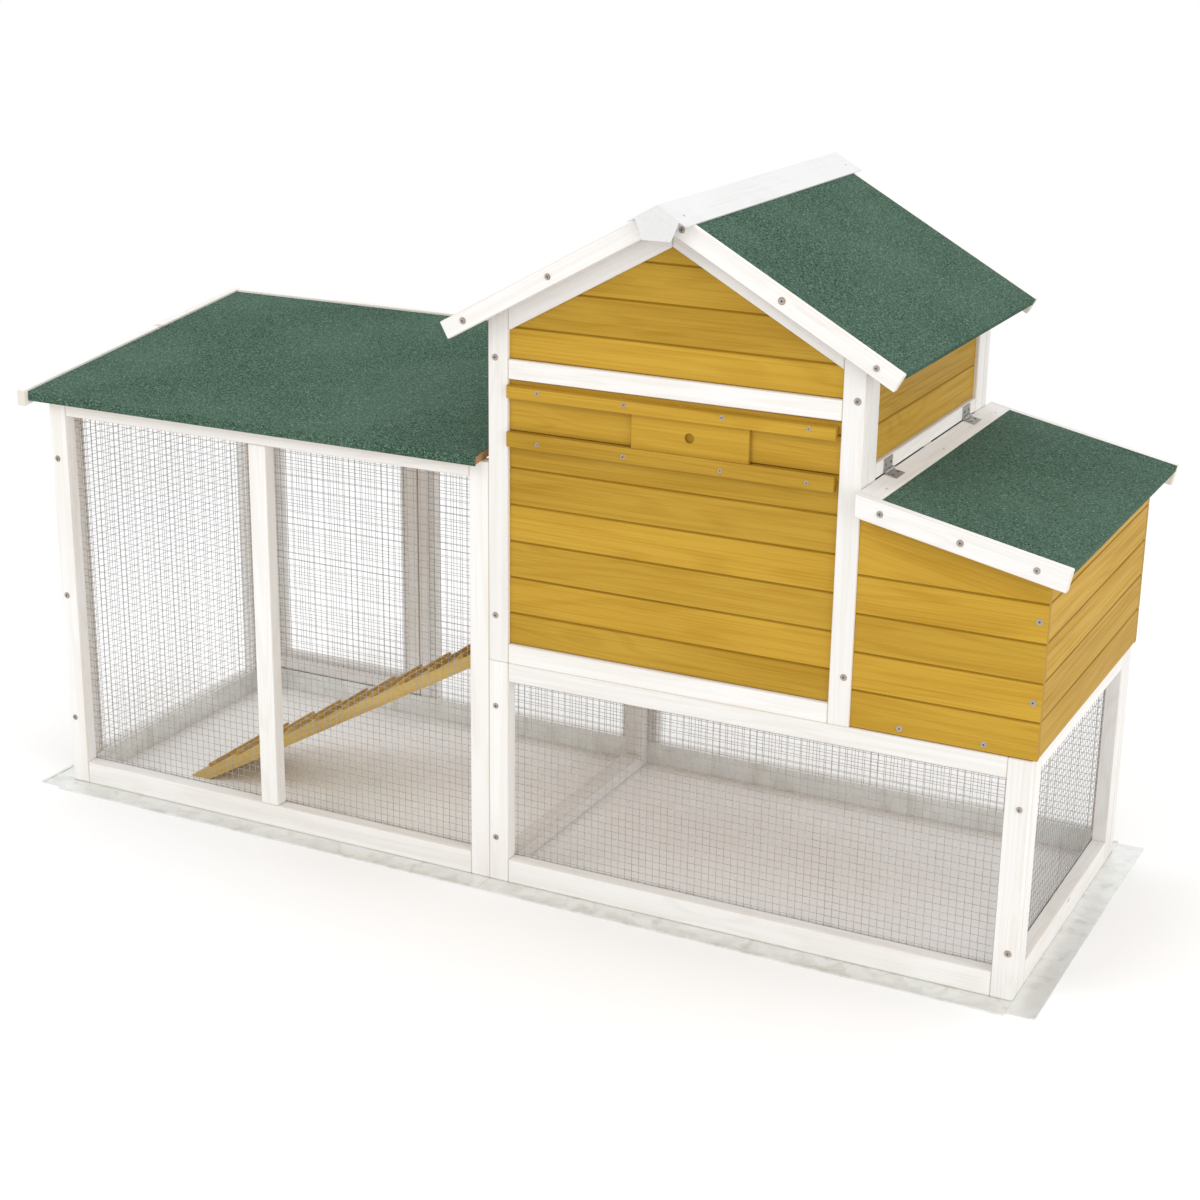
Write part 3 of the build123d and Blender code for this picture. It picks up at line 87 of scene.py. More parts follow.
class Graph:
    """Adds and joins the shader nodes of one material."""

    def __init__(self, name: str) -> None:
        """Starts a material with its principled shader.

        Args:
            name: Name of the new material.
        """
        self.material = bpy.data.materials.new(name)
        self.material.use_nodes = True
        self.tree = self.material.node_tree
        self.shader = self.tree.nodes["Principled BSDF"]

    def set(self, node: bpy.types.Node, socket: str | int, value: Any) -> None:
        """Gives an input socket a constant, or links another socket into it.

        Args:
            node: The node whose input is set.
            socket: Name or number of the input.
            value: A constant, or the output socket to link.
        """
        target = node.inputs[socket]
        if isinstance(value, bpy.types.NodeSocket):
            self.tree.links.new(value, target)
        elif isinstance(value, tuple) and target.type == "RGBA" and len(value) == 3:
            target.default_value = (*value, 1.0)
        else:
            target.default_value = value

    def add(
        self,
        kind: str,
        inputs: dict[str | int, Any] | None = None,
        **settings: Any,
    ) -> bpy.types.Node:
        """Adds one node.

        Args:
            kind: Blender's name of the node type.
            inputs: Values or sockets for its inputs.
            **settings: Properties of the node itself.

        Returns:
            The new node.
        """
        node = self.tree.nodes.new(kind)
        for key, value in settings.items():
            setattr(node, key, value)
        for key, value in (inputs or {}).items():
            self.set(node, key, value)
        return node

    def math(self, operation: str, *values: Any, clamp: bool = False) -> bpy.types.NodeSocket:
        """Adds a math node.

        Args:
            operation: Blender's name of the operation.
            *values: Constants or sockets, in order.
            clamp: Whether the result stays between 0 and 1.

        Returns:
            The result's socket.
        """
        inputs = dict(enumerate(values))
        node = self.add("ShaderNodeMath", inputs, operation=operation, use_clamp=clamp)
        return node.outputs[0]

    def ramp(
        self, value: Any, low: float, high: float, start: float = 0.0, end: float = 1.0
    ) -> bpy.types.NodeSocket:
        """Maps a value smoothly from one clamped range to another.

        Args:
            value: The socket that is mapped.
            low: Input that gives start.
            high: Input that gives end.
            start: Result at low.
            end: Result at high.

        Returns:
            The output socket.
        """
        names = ("From Min", "From Max", "To Min", "To Max")
        inputs: dict[str | int, Any] = dict(zip(names, (low, high, start, end)))
        inputs["Value"] = value
        return self.add("ShaderNodeMapRange", inputs, interpolation_type="SMOOTHSTEP").outputs[0]

    def mix(self, amount: Any, first: Any, second: Any) -> bpy.types.NodeSocket:
        """Mixes two colours.

        Args:
            amount: Share of the second colour.
            first: Colour at 0.
            second: Colour at 1.

        Returns:
            The mixed colour's socket.
        """
        node = self.add("ShaderNodeMix", data_type="RGBA")
        self.set(node, 0, amount)
        self.set(node, 6, first)
        self.set(node, 7, second)
        return node.outputs[2]

    def scaled(self, vector: Any, scale: tuple[float, float, float]) -> bpy.types.NodeSocket:
        """Stretches a coordinate.

        Args:
            vector: The coordinate's socket.
            scale: Factor on each axis.

        Returns:
            The stretched coordinate's socket.
        """
        node = self.add("ShaderNodeMapping", {"Vector": vector, "Scale": scale})
        return node.outputs[0]

    def noise(
        self, vector: Any, scale: float, detail: float, distortion: float = 0.0
    ) -> bpy.types.NodeSocket:
        """Adds a noise texture.

        Args:
            vector: The coordinate's socket.
            scale: Spots per metre.
            detail: Number of finer layers.
            distortion: How far the pattern is warped.

        Returns:
            The noise value's socket.
        """
        inputs = {"Vector": vector, "Scale": scale, "Detail": detail, "Distortion": distortion}
        return self.add("ShaderNodeTexNoise", inputs).outputs[0]

    def bump(self, height: Any, distance: float, strength: float) -> None:
        """Shades the surface as if it were raised by a height.

        Args:
            height: Socket of the height, from 0 to 1.
            distance: Metres that a height of 1 stands for.
            strength: Share of the effect that is kept.
        """
        node = self.add(
            "ShaderNodeBump", {"Height": height, "Distance": distance, "Strength": strength}
        )
        self.set(self.shader, "Normal", node.outputs[0])


@dataclass(frozen=True)
class WoodFinish:
    """A stained or washed board, whose grain follows each board's own length."""

    name: str
    light: Colour
    dark: Colour
    knot: Colour
    arris: Colour
    end: Colour
    rings: float = 0.5
    streaks: float = 0.5
    patches: float = 0.35
    variety: float = 0.12
    knots: float = 0.05
    relief: float = 0.35
    rough: tuple[float, float] = (0.5, 0.72)
    laminated: bool = False
    specular: float = 0.3
    knot_scale: Scale = (2.6, 7.5, 0.6)
    ring_scale: Scale = (0.9, 13.0, 9.0)
    streak_scale: Scale = (4.0, 330.0, 330.0)
    patch_scale: Scale = (2.2, 11.0, 11.0)
    ring_count: float = 62.0
    knot_pull: float = 9.0
    knot_reach: float = 0.3
    knot_core: float = 0.55
    knot_depth: float = 0.85
    ply_pitch: float = 2600.0
    pore_scale: float = 700.0
    wear: tuple[float, float] = (0.75, 1.0)
    ring_height: float = 0.4
    grain_height: float = 0.6 * MM

    def build(self) -> bpy.types.Material:
        """Makes the material.

        Returns:
            The finished material.
        """
        g = Graph(self.name)
        grain = g.add("ShaderNodeAttribute", attribute_name="grain").outputs["Vector"]
        board = g.add("ShaderNodeAttribute", attribute_name="board").outputs["Fac"]
        arris = g.add("ShaderNodeAttribute", attribute_name="arris").outputs["Fac"]
        end = g.add("ShaderNodeAttribute", attribute_name="end_grain").outputs["Fac"]
        cells = g.add(
            "ShaderNodeTexVoronoi",
            {"Vector": g.scaled(grain, self.knot_scale), "Scale": 1.0},
        ).outputs["Distance"]
        wide = g.noise(g.scaled(grain, self.ring_scale), 1.0, 2.0, 0.5)
        halo = g.ramp(cells, 0.0, self.knot_reach, 1.0, 0.0)
        rings = g.math("MULTIPLY", wide, self.ring_count)
        phase = g.math("ADD", rings, g.math("MULTIPLY", halo, self.knot_pull))
        ring = g.ramp(g.math("SINE", phase), -0.2, 1.0)
        streak = g.ramp(g.noise(g.scaled(grain, self.streak_scale), 1.0, 4.0), 0.4, 0.72)
        patch = g.ramp(g.noise(g.scaled(grain, self.patch_scale), 1.0, 3.0), 0.35, 0.75)
        shade = g.math("MULTIPLY", ring, self.rings)
        shade = g.math("ADD", shade, g.math("MULTIPLY", streak, self.streaks))
        shade = g.math("ADD", shade, g.math("MULTIPLY", patch, self.patches), clamp=True)
        colour = g.mix(shade, self.light, self.dark)
        tone = g.ramp(board, 0.0, 1.0, 1.0 - self.variety, 1.0 + self.variety / 2)
        toned = g.add("ShaderNodeHueSaturation", {"Color": colour, "Value": tone}).outputs[0]
        spot = g.ramp(cells, self.knots * self.knot_core, self.knots, self.knot_depth, 0.0)
        colour = g.mix(spot, toned, self.knot)
        if self.laminated:
            layers = g.add("ShaderNodeSeparateXYZ", {0: grain}).outputs[2]
            plies = g.math("SINE", g.math("MULTIPLY", layers, self.ply_pitch))
            end_colour = g.mix(g.ramp(plies, -0.4, 0.4), self.end, self.knot)
        else:
            pores = g.noise(grain, self.pore_scale, 3.0)
            end_colour = g.mix(g.ramp(pores, 0.35, 0.65), self.end, self.dark)
        colour = g.mix(end, colour, end_colour)
        worn = g.math("MULTIPLY", arris, g.ramp(patch, 0.0, 1.0, *self.wear))
        colour = g.mix(worn, colour, self.arris)
        g.set(g.shader, "Base Color", colour)
        g.set(g.shader, "Roughness", g.ramp(streak, 0.0, 1.0, *self.rough))
        g.shader.inputs["Specular IOR Level"].default_value = self.specular
        height = g.math("ADD", g.math("MULTIPLY", ring, self.ring_height), streak)
        g.bump(height, self.grain_height, self.relief)
        return g.material


@dataclass(frozen=True)
class FeltFinish:
    """Mineral felt: coloured granules pressed into a dull sheet."""

    name: str = "green_mineral_felt"
    dark: Colour = (0.010, 0.028, 0.018)
    mid: Colour = (0.055, 0.107, 0.074)
    pale: Colour = (0.17, 0.26, 0.20)
    granule: float = 520.0
    blotch: float = 330.0
    granule_share: float = 0.55
    pale_share: float = 0.8
    fade_scale: float = 5.0
    fading: tuple[float, float] = (0.02, 0.15)
    rough: tuple[float, float] = (0.82, 0.97)
    specular: float = 0.08
    grit_height: float = 0.8 * MM
    relief: float = 0.3

    def build(self) -> bpy.types.Material:
        """Makes the material.

        Returns:
            The finished material.
        """
        g = Graph(self.name)
        here = g.add("ShaderNodeTexCoord").outputs["Object"]
        grit = g.add("ShaderNodeTexVoronoi", {"Vector": here, "Scale": self.granule})
        tint = g.add("ShaderNodeSeparateColor", {0: grit.outputs["Color"]}).outputs[0]
        blotch = g.ramp(g.noise(here, self.blotch, 1.0), 0.3, 0.7)
        grains = g.math("MULTIPLY", tint, self.granule_share)
        tone = g.math("ADD", grains, g.math("MULTIPLY", blotch, 1.0 - self.granule_share))
        colour = g.mix(g.ramp(tone, 0.1, 0.6), self.dark, self.mid)
        colour = g.mix(g.ramp(tone, 0.62, 0.95, 0.0, self.pale_share), colour, self.pale)
        fade = g.ramp(g.noise(here, self.fade_scale, 3.0), 0.3, 0.75, *self.fading)
        colour = g.mix(fade, colour, self.pale)
        g.set(g.shader, "Base Color", colour)
        g.set(g.shader, "Roughness", g.ramp(tint, 0.0, 1.0, *self.rough))
        g.shader.inputs["Specular IOR Level"].default_value = self.specular
        height = g.math("SUBTRACT", 1.0, grit.outputs["Distance"])
        g.bump(height, self.grit_height, self.relief)
        return g.material


@dataclass(frozen=True)
class MetalFinish:
    """Bare or coated metal with a crystal pattern, stains and fine scratches."""

    name: str
    light: Colour
    dark: Colour
    stain: Colour
    crystals: float = 55.0
    stained: float = 0.5
    metallic: float = 0.85
    rough: tuple[float, float] = (0.3, 0.55)
    facet_share: float = 0.45
    cloud_scale: float = 14.0
    run_scale: Scale = (24.0, 24.0, 5.0)
    pit_scale: float = 300.0
    pit_depth: float = 0.3 * MM
    relief: float = 0.25

    def build(self) -> bpy.types.Material:
        """Makes the material.

        Returns:
            The finished material.
        """
        g = Graph(self.name)
        here = g.add("ShaderNodeTexCoord").outputs["Object"]
        crystal = g.add("ShaderNodeTexVoronoi", {"Vector": here, "Scale": self.crystals})
        facet = g.add("ShaderNodeSeparateColor", {0: crystal.outputs["Color"]}).outputs[0]
        cloud = g.noise(here, self.cloud_scale, 5.0, 0.4)
        facets = g.math("MULTIPLY", facet, self.facet_share)
        tone = g.math("ADD", facets, g.math("MULTIPLY", cloud, 1.0 - self.facet_share))
        colour = g.mix(tone, self.dark, self.light)
        runs = g.noise(g.scaled(here, self.run_scale), 1.0, 5.0, 1.0)
        mark = g.ramp(runs, 0.5, 0.72, 0.0, self.stained)
        g.set(g.shader, "Base Color", g.mix(mark, colour, self.stain))
        g.set(g.shader, "Roughness", g.ramp(tone, 0.0, 1.0, self.rough[1], self.rough[0]))
        g.shader.inputs["Metallic"].default_value = self.metallic
        g.bump(g.noise(here, self.pit_scale, 3.0), self.pit_depth, self.relief)
        return g.material


@dataclass(frozen=True)
class PaintFinish:
    """Dull paint over sheet or wood with soft dirt and brush marks."""

    name: str
    colour: Colour
    dirt: Colour
    rough: tuple[float, float] = (0.45, 0.65)
    brush_scale: Scale = (160.0, 5.0, 160.0)
    cloud_scale: float = 9.0
    brush_height: float = 0.4 * MM
    relief: float = 0.2

    def build(self) -> bpy.types.Material:
        """Makes the material.

        Returns:
            The finished material.
        """
        g = Graph(self.name)
        here = g.add("ShaderNodeTexCoord").outputs["Object"]
        brush = g.noise(g.scaled(here, self.brush_scale), 1.0, 4.0)
        cloud = g.noise(here, self.cloud_scale, 5.0, 0.5)
        grime = g.ramp(g.math("MULTIPLY", cloud, g.math("ADD", brush, 0.5)), 0.4, 0.85)
        g.set(g.shader, "Base Color", g.mix(grime, self.colour, self.dirt))
        g.set(g.shader, "Roughness", g.ramp(brush, 0.2, 0.8, *self.rough))
        g.bump(brush, self.brush_height, self.relief)
        return g.material


WHITE_WASH = WoodFinish(
    "white_washed_pine",
    light=(0.815, 0.80, 0.78),
    dark=(0.715, 0.675, 0.62),
    knot=(0.55, 0.45, 0.35),
    arris=(0.68, 0.62, 0.54),
    end=(0.72, 0.64, 0.54),
    rings=0.28,
    streaks=0.3,
    patches=0.3,
    variety=0.04,
    knots=0.03,
    relief=0.25,
    rough=(0.5, 0.68),
)
GOLD_STAIN = WoodFinish(
    "golden_stained_pine",
    light=(0.510, 0.308, 0.037),
    dark=(0.355, 0.186, 0.012),
    knot=(0.26, 0.125, 0.008),
    arris=(0.31, 0.165, 0.010),
    end=(0.42, 0.25, 0.03),
    rings=0.21,
    streaks=0.34,
    patches=0.36,
    variety=0.10,
    knots=0.048,
    specular=0.12,
)
PALE_STAIN = replace(
    GOLD_STAIN,
    name="pale_stained_pine",
    light=(0.66, 0.46, 0.15),
    dark=(0.50, 0.32, 0.08),
    arris=(0.48, 0.31, 0.08),
)
PLAIN_PINE = WoodFinish(
    "plain_pine",
    light=(0.64, 0.47, 0.29),
    dark=(0.47, 0.31, 0.165),
    knot=(0.2, 0.1, 0.045),
    arris=(0.52, 0.36, 0.21),
    end=(0.43, 0.28, 0.15),
)
PLYWOOD = WoodFinish(
    "bare_plywood",
    light=(0.60, 0.42, 0.25),
    dark=(0.47, 0.29, 0.15),
    knot=(0.20, 0.095, 0.04),
    arris=(0.42, 0.25, 0.13),
    end=(0.5, 0.28, 0.12),
    knots=0.03,
    laminated=True,
)
FELT = FeltFinish()
ZINC_STRIP = MetalFinish(
    "galvanised_strip", (0.90, 0.91, 0.89), (0.76, 0.77, 0.75), (0.55, 0.52, 0.46), stained=0.4
)
ZINC_WIRE = MetalFinish(
    "galvanised_wire",
    (0.46, 0.46, 0.46),
    (0.26, 0.26, 0.26),
    (0.16, 0.14, 0.12),
    metallic=0.35,
    rough=(0.45, 0.65),
)
PLATED_STEEL = MetalFinish(
    "plated_steel",
    (0.56, 0.55, 0.53),
    (0.30, 0.29, 0.28),
    (0.22, 0.16, 0.11),
    crystals=400.0,
    stained=0.3,
    rough=(0.38, 0.6),
)
# Near-black metal for the screws' cross recesses and dips: painted shade for the shadow inside
# each recess.
PAINTED_RECESS_SHADE = MetalFinish("screw_recess_painted_shade", (0.10, 0.10, 0.10), (0.04, 0.04, 0.04), (0.06, 0.04, 0.03))
STAIN_RING = PaintFinish("screw_stain", (0.50, 0.36, 0.24), (0.34, 0.21, 0.12), (0.6, 0.8))
CAP_PAINT = PaintFinish("white_cap_paint", (0.69, 0.69, 0.695), (0.64, 0.635, 0.62))


class Paints:
    """Makes each finish once and hands its material out."""

    def __init__(self) -> None:
        """Starts with no materials made."""
        self.made: dict[str, bpy.types.Material] = {}

    def get(self, finish: Any) -> bpy.types.Material:
        """Finds the material of a finish, which is built when it is first asked for.

        Args:
            finish: The finish.

        Returns:
            Its material.
        """
        if finish.name not in self.made:
            self.made[finish.name] = finish.build()
        return self.made[finish.name]


PAINTS = Paints()


def finished(
    bm: bmesh.types.BMesh, name: str, body: str, finish: Any
) -> bpy.types.Object:
    """Turns a bmesh into a piece that rides on a body.

    Args:
        bm: The mesh, in place; it is freed.
        name: Name of the new piece.
        body: Body that carries the piece.
        finish: Finish of its surface.

    Returns:
        The new object.
    """
    mesh = bpy.data.meshes.new(name)
    bm.to_mesh(mesh)
    bm.free()
    mesh.materials.append(PAINTS.get(finish))
    piece = bpy.data.objects.new(name, mesh)
    bpy.context.scene.collection.objects.link(piece)
    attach(piece, body)
    LOG.info("%s: %d faces on %s", name, len(mesh.polygons), body)
    return piece


def node_bmesh(node: str, merge: float = 0.001 * MM) -> bmesh.types.BMesh:
    """Copies a CAD node's mesh and joins its loose triangles.

    Args:
        node: Name of the CAD node.
        merge: Distance within which corners become one.

    Returns:
        The joined copy.
    """
    bm = bmesh.new()
    bm.from_mesh(frame["nodes"][node].data)
    bmesh.ops.remove_doubles(bm, verts=bm.verts, dist=merge)
    return bm


def cone(
    bm: bmesh.types.BMesh, place: Matrix, radii: tuple[float, float], depth: float, sides: int
) -> None:
    """Adds a closed cone or cylinder along the Z axis of a place.

    Args:
        bm: The mesh that takes it.
        place: Where its middle is and how it is turned.
        radii: Its radius at the foot and at the tip.
        depth: Its length.
        sides: Number of its sides.
    """
    bmesh.ops.create_cone(
        bm,
        cap_ends=True,
        segments=sides,
        radius1=radii[0],
        radius2=radii[1],
        depth=depth,
        matrix=place,
    )


def turned_to(direction: Vector) -> Matrix:
    """Turns the Z axis to a direction.

    Args:
        direction: Where the axis goes.

    Returns:
        The rotation.
    """
    return direction.to_track_quat("Z", "Y").to_matrix().to_4x4()


def islands(bm: bmesh.types.BMesh) -> list[list[bmesh.types.BMFace]]:
    """Splits a mesh into the faces of each separate solid.

    Args:
        bm: The mesh.

    Returns:
        One list of faces for each solid.
    """
    seen: set[bmesh.types.BMFace] = set()
    found = []
    for start in bm.faces:
        if start in seen:
            continue
        seen.add(start)
        group, stack = [], [start]
        while stack:
            face = stack.pop()
            group.append(face)
            for edge in face.edges:
                for other in edge.link_faces:
                    if other not in seen:
                        seen.add(other)
                        stack.append(other)
        found.append(group)
    return found


def span(faces: Iterable[bmesh.types.BMFace]) -> tuple[Vector, Vector]:
    """Measures the box round some faces.

    Args:
        faces: The faces.

    Returns:
        The box's lowest and highest corners.
    """
    points = [vert.co for face in faces for vert in face.verts]
    low = Vector(min(p[i] for p in points) for i in range(3))
    high = Vector(max(p[i] for p in points) for i in range(3))
    return low, high


@dataclass
class BoardAxes:
    """The directions along, across and through one board."""

    along: Vector
    across: Vector
    through: Vector

    @staticmethod
    def facing(face: bmesh.types.BMFace) -> tuple[float, ...]:
        """Names the direction that a face shares with its opposite.

        Args:
            face: The face.

        Returns:
            Its normal without signs, rounded.
        """
        return tuple(round(abs(value), 2) for value in face.normal)

    @classmethod
    def of(
        cls, faces: Sequence[bmesh.types.BMFace], crease: float = 0.2, level: float = 0.05
    ) -> "BoardAxes":
        """Finds a board's directions from its broadest face and longest edge.

        Args:
            faces: The faces of one board.
            crease: Angle in radians above which an edge is a real one.
            level: How far from the broad face's plane an edge may lean.

        Returns:
            Its directions.
        """
        areas: dict[tuple[float, ...], float] = {}
        for face in faces:
            key = cls.facing(face)
            areas[key] = areas.get(key, 0.0) + face.calc_area()
        best = max(areas, key=lambda key: areas[key])
        through = next(face.normal.copy() for face in faces if cls.facing(face) == best)
        longest, along = 0.0, through.orthogonal()
        for edge in (edge for face in faces for edge in face.edges):
            line = edge.verts[1].co - edge.verts[0].co
            bent = len(edge.link_faces) != 2 or edge.calc_face_angle(0.0) > crease
            flat = abs(line.normalized().dot(through)) < level
            if bent and flat and line.length > longest:
                longest, along = line.length, line.normalized()
        return cls(along, through.cross(along).normalized(), through)


@dataclass
class BoardWork:
    """Boards or timbers of one CAD node, each with a grain that runs along it."""

    node: str
    slot: Slot
    finish: WoodFinish
    seed: int = 7
    offset: float = 40.0
    square: float = 0.9

    def build(self) -> bpy.types.Object:
        """Copies the node's solids and marks grain, arrises and end grain on them.

        Returns:
            The new piece.
        """
        rng = random.Random(f"{self.node}{self.seed}")
        bm = node_bmesh(self.node)
        grain = bm.loops.layers.float_vector.new("grain")
        board = bm.faces.layers.float.new("board")
        arris = bm.faces.layers.float.new("arris")
        end = bm.faces.layers.float.new("end_grain")
        for faces in islands(bm):
            axes = BoardAxes.of(faces)
            start = Vector(rng.uniform(0.0, self.offset) for _ in range(3))
            tone = rng.random()
            for face in faces:
                turned = (
                    abs(face.normal.dot(axes.along)),
                    abs(face.normal.dot(axes.across)),
                    abs(face.normal.dot(axes.through)),
                )
                face[board] = tone
                face[arris] = float(max(turned) < self.square)
                edge_on = max(turned[0], turned[1]) if self.finish.laminated else turned[0]
                face[end] = float(edge_on > self.square)
                for loop in face.loops:
                    place = loop.vert.co
                    loop[grain] = start + Vector(
                        (place.dot(axes.along), place.dot(axes.across), place.dot(axes.through))
                    )
        piece = finished(bm, f"{self.node}_wood", BODY_OF[self.node], self.finish)
        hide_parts(self.node)
        return piece


@dataclass
class WeldedMesh:
    """Welded wire panels that stand where a CAD node has thin sheets."""

    node: str
    pitch: float = 12.7 * MM
    radius: float = 0.42 * MM
    sides: int = 6
    cross_depth: float = 1.8
    first_cross: float = 1 / 3

    def wire(self, bm: bmesh.types.BMesh, start: Vector, end: Vector) -> None:
        """Adds one straight wire.

        Args:
            bm: The mesh that takes the wire.
            start: One end.
            end: The other end.
        """
        line = end - start
        place = Matrix.Translation((start + end) / 2) @ turned_to(line)
        cone(bm, place, (self.radius, self.radius), line.length, self.sides)

    def panel(self, bm: bmesh.types.BMesh, faces: Sequence[bmesh.types.BMFace]) -> None:
        """Adds the crossing wires of one panel, trimmed to its sloping top.

        Args:
            bm: The mesh that takes the wires.
            faces: The faces of the thin sheet that the panel stands for.
        """
        low, high = span(faces)
        size = high - low
        flat = 0 if size.x < size.y else 1
        wide = 1 - flat
        inward = -1.0 if (low + high)[flat] > 0 else 1.0
        outer = high[flat] if inward < 0 else low[flat]
        net = bmesh.new()
        depth = outer + inward * self.radius
        steps = int(size[wide] / self.pitch)
        first = low[wide] + (size[wide] - steps * self.pitch) / 2
        for step in range(steps + 1):
            start = Vector((0.0, 0.0, low.z))
            start[flat], start[wide] = depth, first + step * self.pitch
            self.wire(net, start, Vector((start.x, start.y, high.z)))
        depth = outer + inward * self.radius * self.cross_depth
        level = low.z + self.pitch * self.first_cross
        while level < high.z:
            start = Vector((0.0, 0.0, level))
            start[flat], start[wide] = depth, low[wide]
            stop = start.copy()
            stop[wide] = high[wide]
            self.wire(net, start, stop)
            level += self.pitch
        corners = [vert.co for face in faces for vert in face.verts]
        near = max(p.z for p in corners if abs(p[wide] - low[wide]) < MM)
        far = max(p.z for p in corners if abs(p[wide] - high[wide]) < MM)
        rise = (far - near) / size[wide]
        over = Vector((0.0, 0.0, 1.0))
        over[wide] = -rise
        edge = Vector((0.0, 0.0, near))
        edge[wide] = low[wide]
        everything = net.verts[:] + net.edges[:] + net.faces[:]
        bmesh.ops.bisect_plane(
            net, geom=everything, plane_co=edge, plane_no=over, clear_outer=True
        )
        spare = bpy.data.meshes.new("spare")
        net.to_mesh(spare)
        net.free()
        bm.from_mesh(spare)
        bpy.data.meshes.remove(spare)

    def build(self) -> bpy.types.Object:
        """Makes every panel of the node as one piece.

        Returns:
            The new piece.
        """
        sheets = node_bmesh(self.node)
        bm = bmesh.new()
        for faces in islands(sheets):
            self.panel(bm, faces)
        sheets.free()
        piece = finished(bm, f"{self.node}_wires", BODY_OF[self.node], ZINC_WIRE)
        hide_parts(self.node)
        return piece


@dataclass
class ScrewDress:
    """Cross recesses, dark with painted shade, and stained rims for one node's screws, as shares
    of the head's radius.
    """

    node: str
    arm: float = 0.6
    slot_width: float = 0.26
    slot_depth: float = 0.2 * MM
    rim: float = 1.45
    rim_top: float = 0.8
    rim_spread: tuple[float, float] = (0.85, 1.05)
    rim_thick: float = 0.12 * MM
    rim_sides: int = 14
    head_thick: float = 1.5 * MM

    def build(self) -> list[bpy.types.Object]:
        """Makes the recesses, dark with painted shade, and the rims.

        Returns:
            The two new pieces.
        """
        rng = random.Random(self.node)
        source = node_bmesh(self.node)
        crosses, rims = bmesh.new(), bmesh.new()
        for faces in islands(source):
            low, high = span(faces)
            centre = (low + high) / 2
            head = (high.x - low.x) / 2
            out = 1.0 if centre.y > 0 else -1.0
            face_y = high.y if out > 0 else low.y
            tip = Vector((centre.x, face_y, centre.z))
            turn = Matrix.Rotation(rng.uniform(0.0, math.pi), 4, "Y")
            for quarter in (0.0, math.pi / 2):
                size = Matrix.Diagonal(
                    (2 * self.arm * head, self.slot_depth, self.slot_width * head, 1.0)
                )
                spin = turn @ Matrix.Rotation(quarter, 4, "Y")
                # Each arm of the cross is a thin near-black box on the head: painted shade of the
                # recess.
                bmesh.ops.create_cube(
                    crosses, size=1.0, matrix=Matrix.Translation(tip) @ spin @ size
                )
            foot = tip - Vector((0.0, out * (self.head_thick - self.rim_thick / 2), 0.0))
            upright = Matrix.Rotation(math.pi / 2, 4, "X")
            rim = self.rim * head
            radii = (rim * rng.uniform(*self.rim_spread), rim * self.rim_top)
            place = Matrix.Translation(foot) @ upright
            cone(rims, place, radii, self.rim_thick, self.rim_sides)
        source.free()
        body = BODY_OF[self.node]
        return [
            finished(crosses, f"{self.node}_recesses", body, PAINTED_RECESS_SHADE),
            finished(rims, f"{self.node}_stains", body, STAIN_RING),
        ]


@dataclass
class HingeScrews:
    """Small domed screws on the leaves of one CAD hinge node."""

    node: str
    spread: float = 11 * MM
    radius: float = 3.5 * MM
    height: float = 0.9 * MM
    crown: float = 0.6
    recess: tuple[float, float] = (0.8, 0.3)
    recess_depth: float = 0.1 * MM
    sides: int = 12
    door_leaf: float = 30 * MM

    def build(self) -> list[bpy.types.Object]:
        """Sets two screws on each leaf.

        Returns:
            The screw heads and the recesses in them, dark with painted shade.
        """
        source = node_bmesh(self.node)
        heads = bmesh.new()
        recesses = bmesh.new()
        for faces in islands(source):
            axes = BoardAxes.of(faces)
            plates = [f for f in faces if abs(f.normal.dot(axes.through)) > FLAT]
            middle = sum((f.calc_center_median() for f in faces), Vector()) / len(faces)
            low, high = span(faces)
            size = high - low
            tall = size.z > self.door_leaf and size.y < self.door_leaf
            pin = Vector((0.0, 0.0, 1.0)) if tall else Vector((0.0, 1.0, 0.0))
            weight = sum(f.calc_area() for f in plates)
            spot = sum((f.calc_center_median() * f.calc_area() for f in plates), Vector()) / weight
            out = axes.through if (middle - spot).dot(axes.through) > 0 else -axes.through
            outer = max((f for f in plates if f.normal.dot(out) > 0), key=lambda f: f.calc_area())
            spot += out * (outer.calc_center_median() - spot).dot(out)
            for side in (-1.0, 1.0):
                place = Matrix.Translation(spot + pin * side * self.spread) @ turned_to(out)
                top = place @ Matrix.Translation((0.0, 0.0, self.height / 2))
                dip = (self.radius * self.recess[0], self.radius * self.recess[1])
                crown = (self.radius, self.radius * self.crown)
                cone(heads, place, crown, self.height, self.sides)
                # A near-black dip on the dome: painted shade of the recess.
                cone(recesses, top, dip, self.recess_depth, self.sides)
        source.free()
        body = BODY_OF[self.node]
        return [
            finished(heads, f"{self.node}_screws", body, PLATED_STEEL),
            finished(recesses, f"{self.node}_recesses", body, PAINTED_RECESS_SHADE),
        ]


@dataclass
class NailHeads:
    """Flat nail heads driven into one face."""

    name: str
    body: str
    spots: list[tuple[float, float, float]]
    facing: tuple[float, float, float]
    radius: float = 2.4 * MM
    crown: float = 0.8
    height: float = 0.7 * MM
    sides: int = 12

    def build(self) -> bpy.types.Object:
        """Makes the heads, each a shallow bevelled disc.

        Returns:
            The new piece.
        """
        bm = bmesh.new()
        radii = (self.radius, self.radius * self.crown)
        for spot in self.spots:
            place = Matrix.Translation(spot) @ turned_to(Vector(self.facing))
            cone(bm, place, radii, self.height, self.sides)
        return finished(bm, self.name, self.body, PLATED_STEEL)


def dress(node: str, finish: Any) -> None:
    """Gives a CAD node a finish in place of its plain one.

    Args:
        node: Name of the CAD node.
        finish: Its finish.
    """
    for slot in frame["nodes"][node].material_slots:
        slot.material = PAINTS.get(finish)


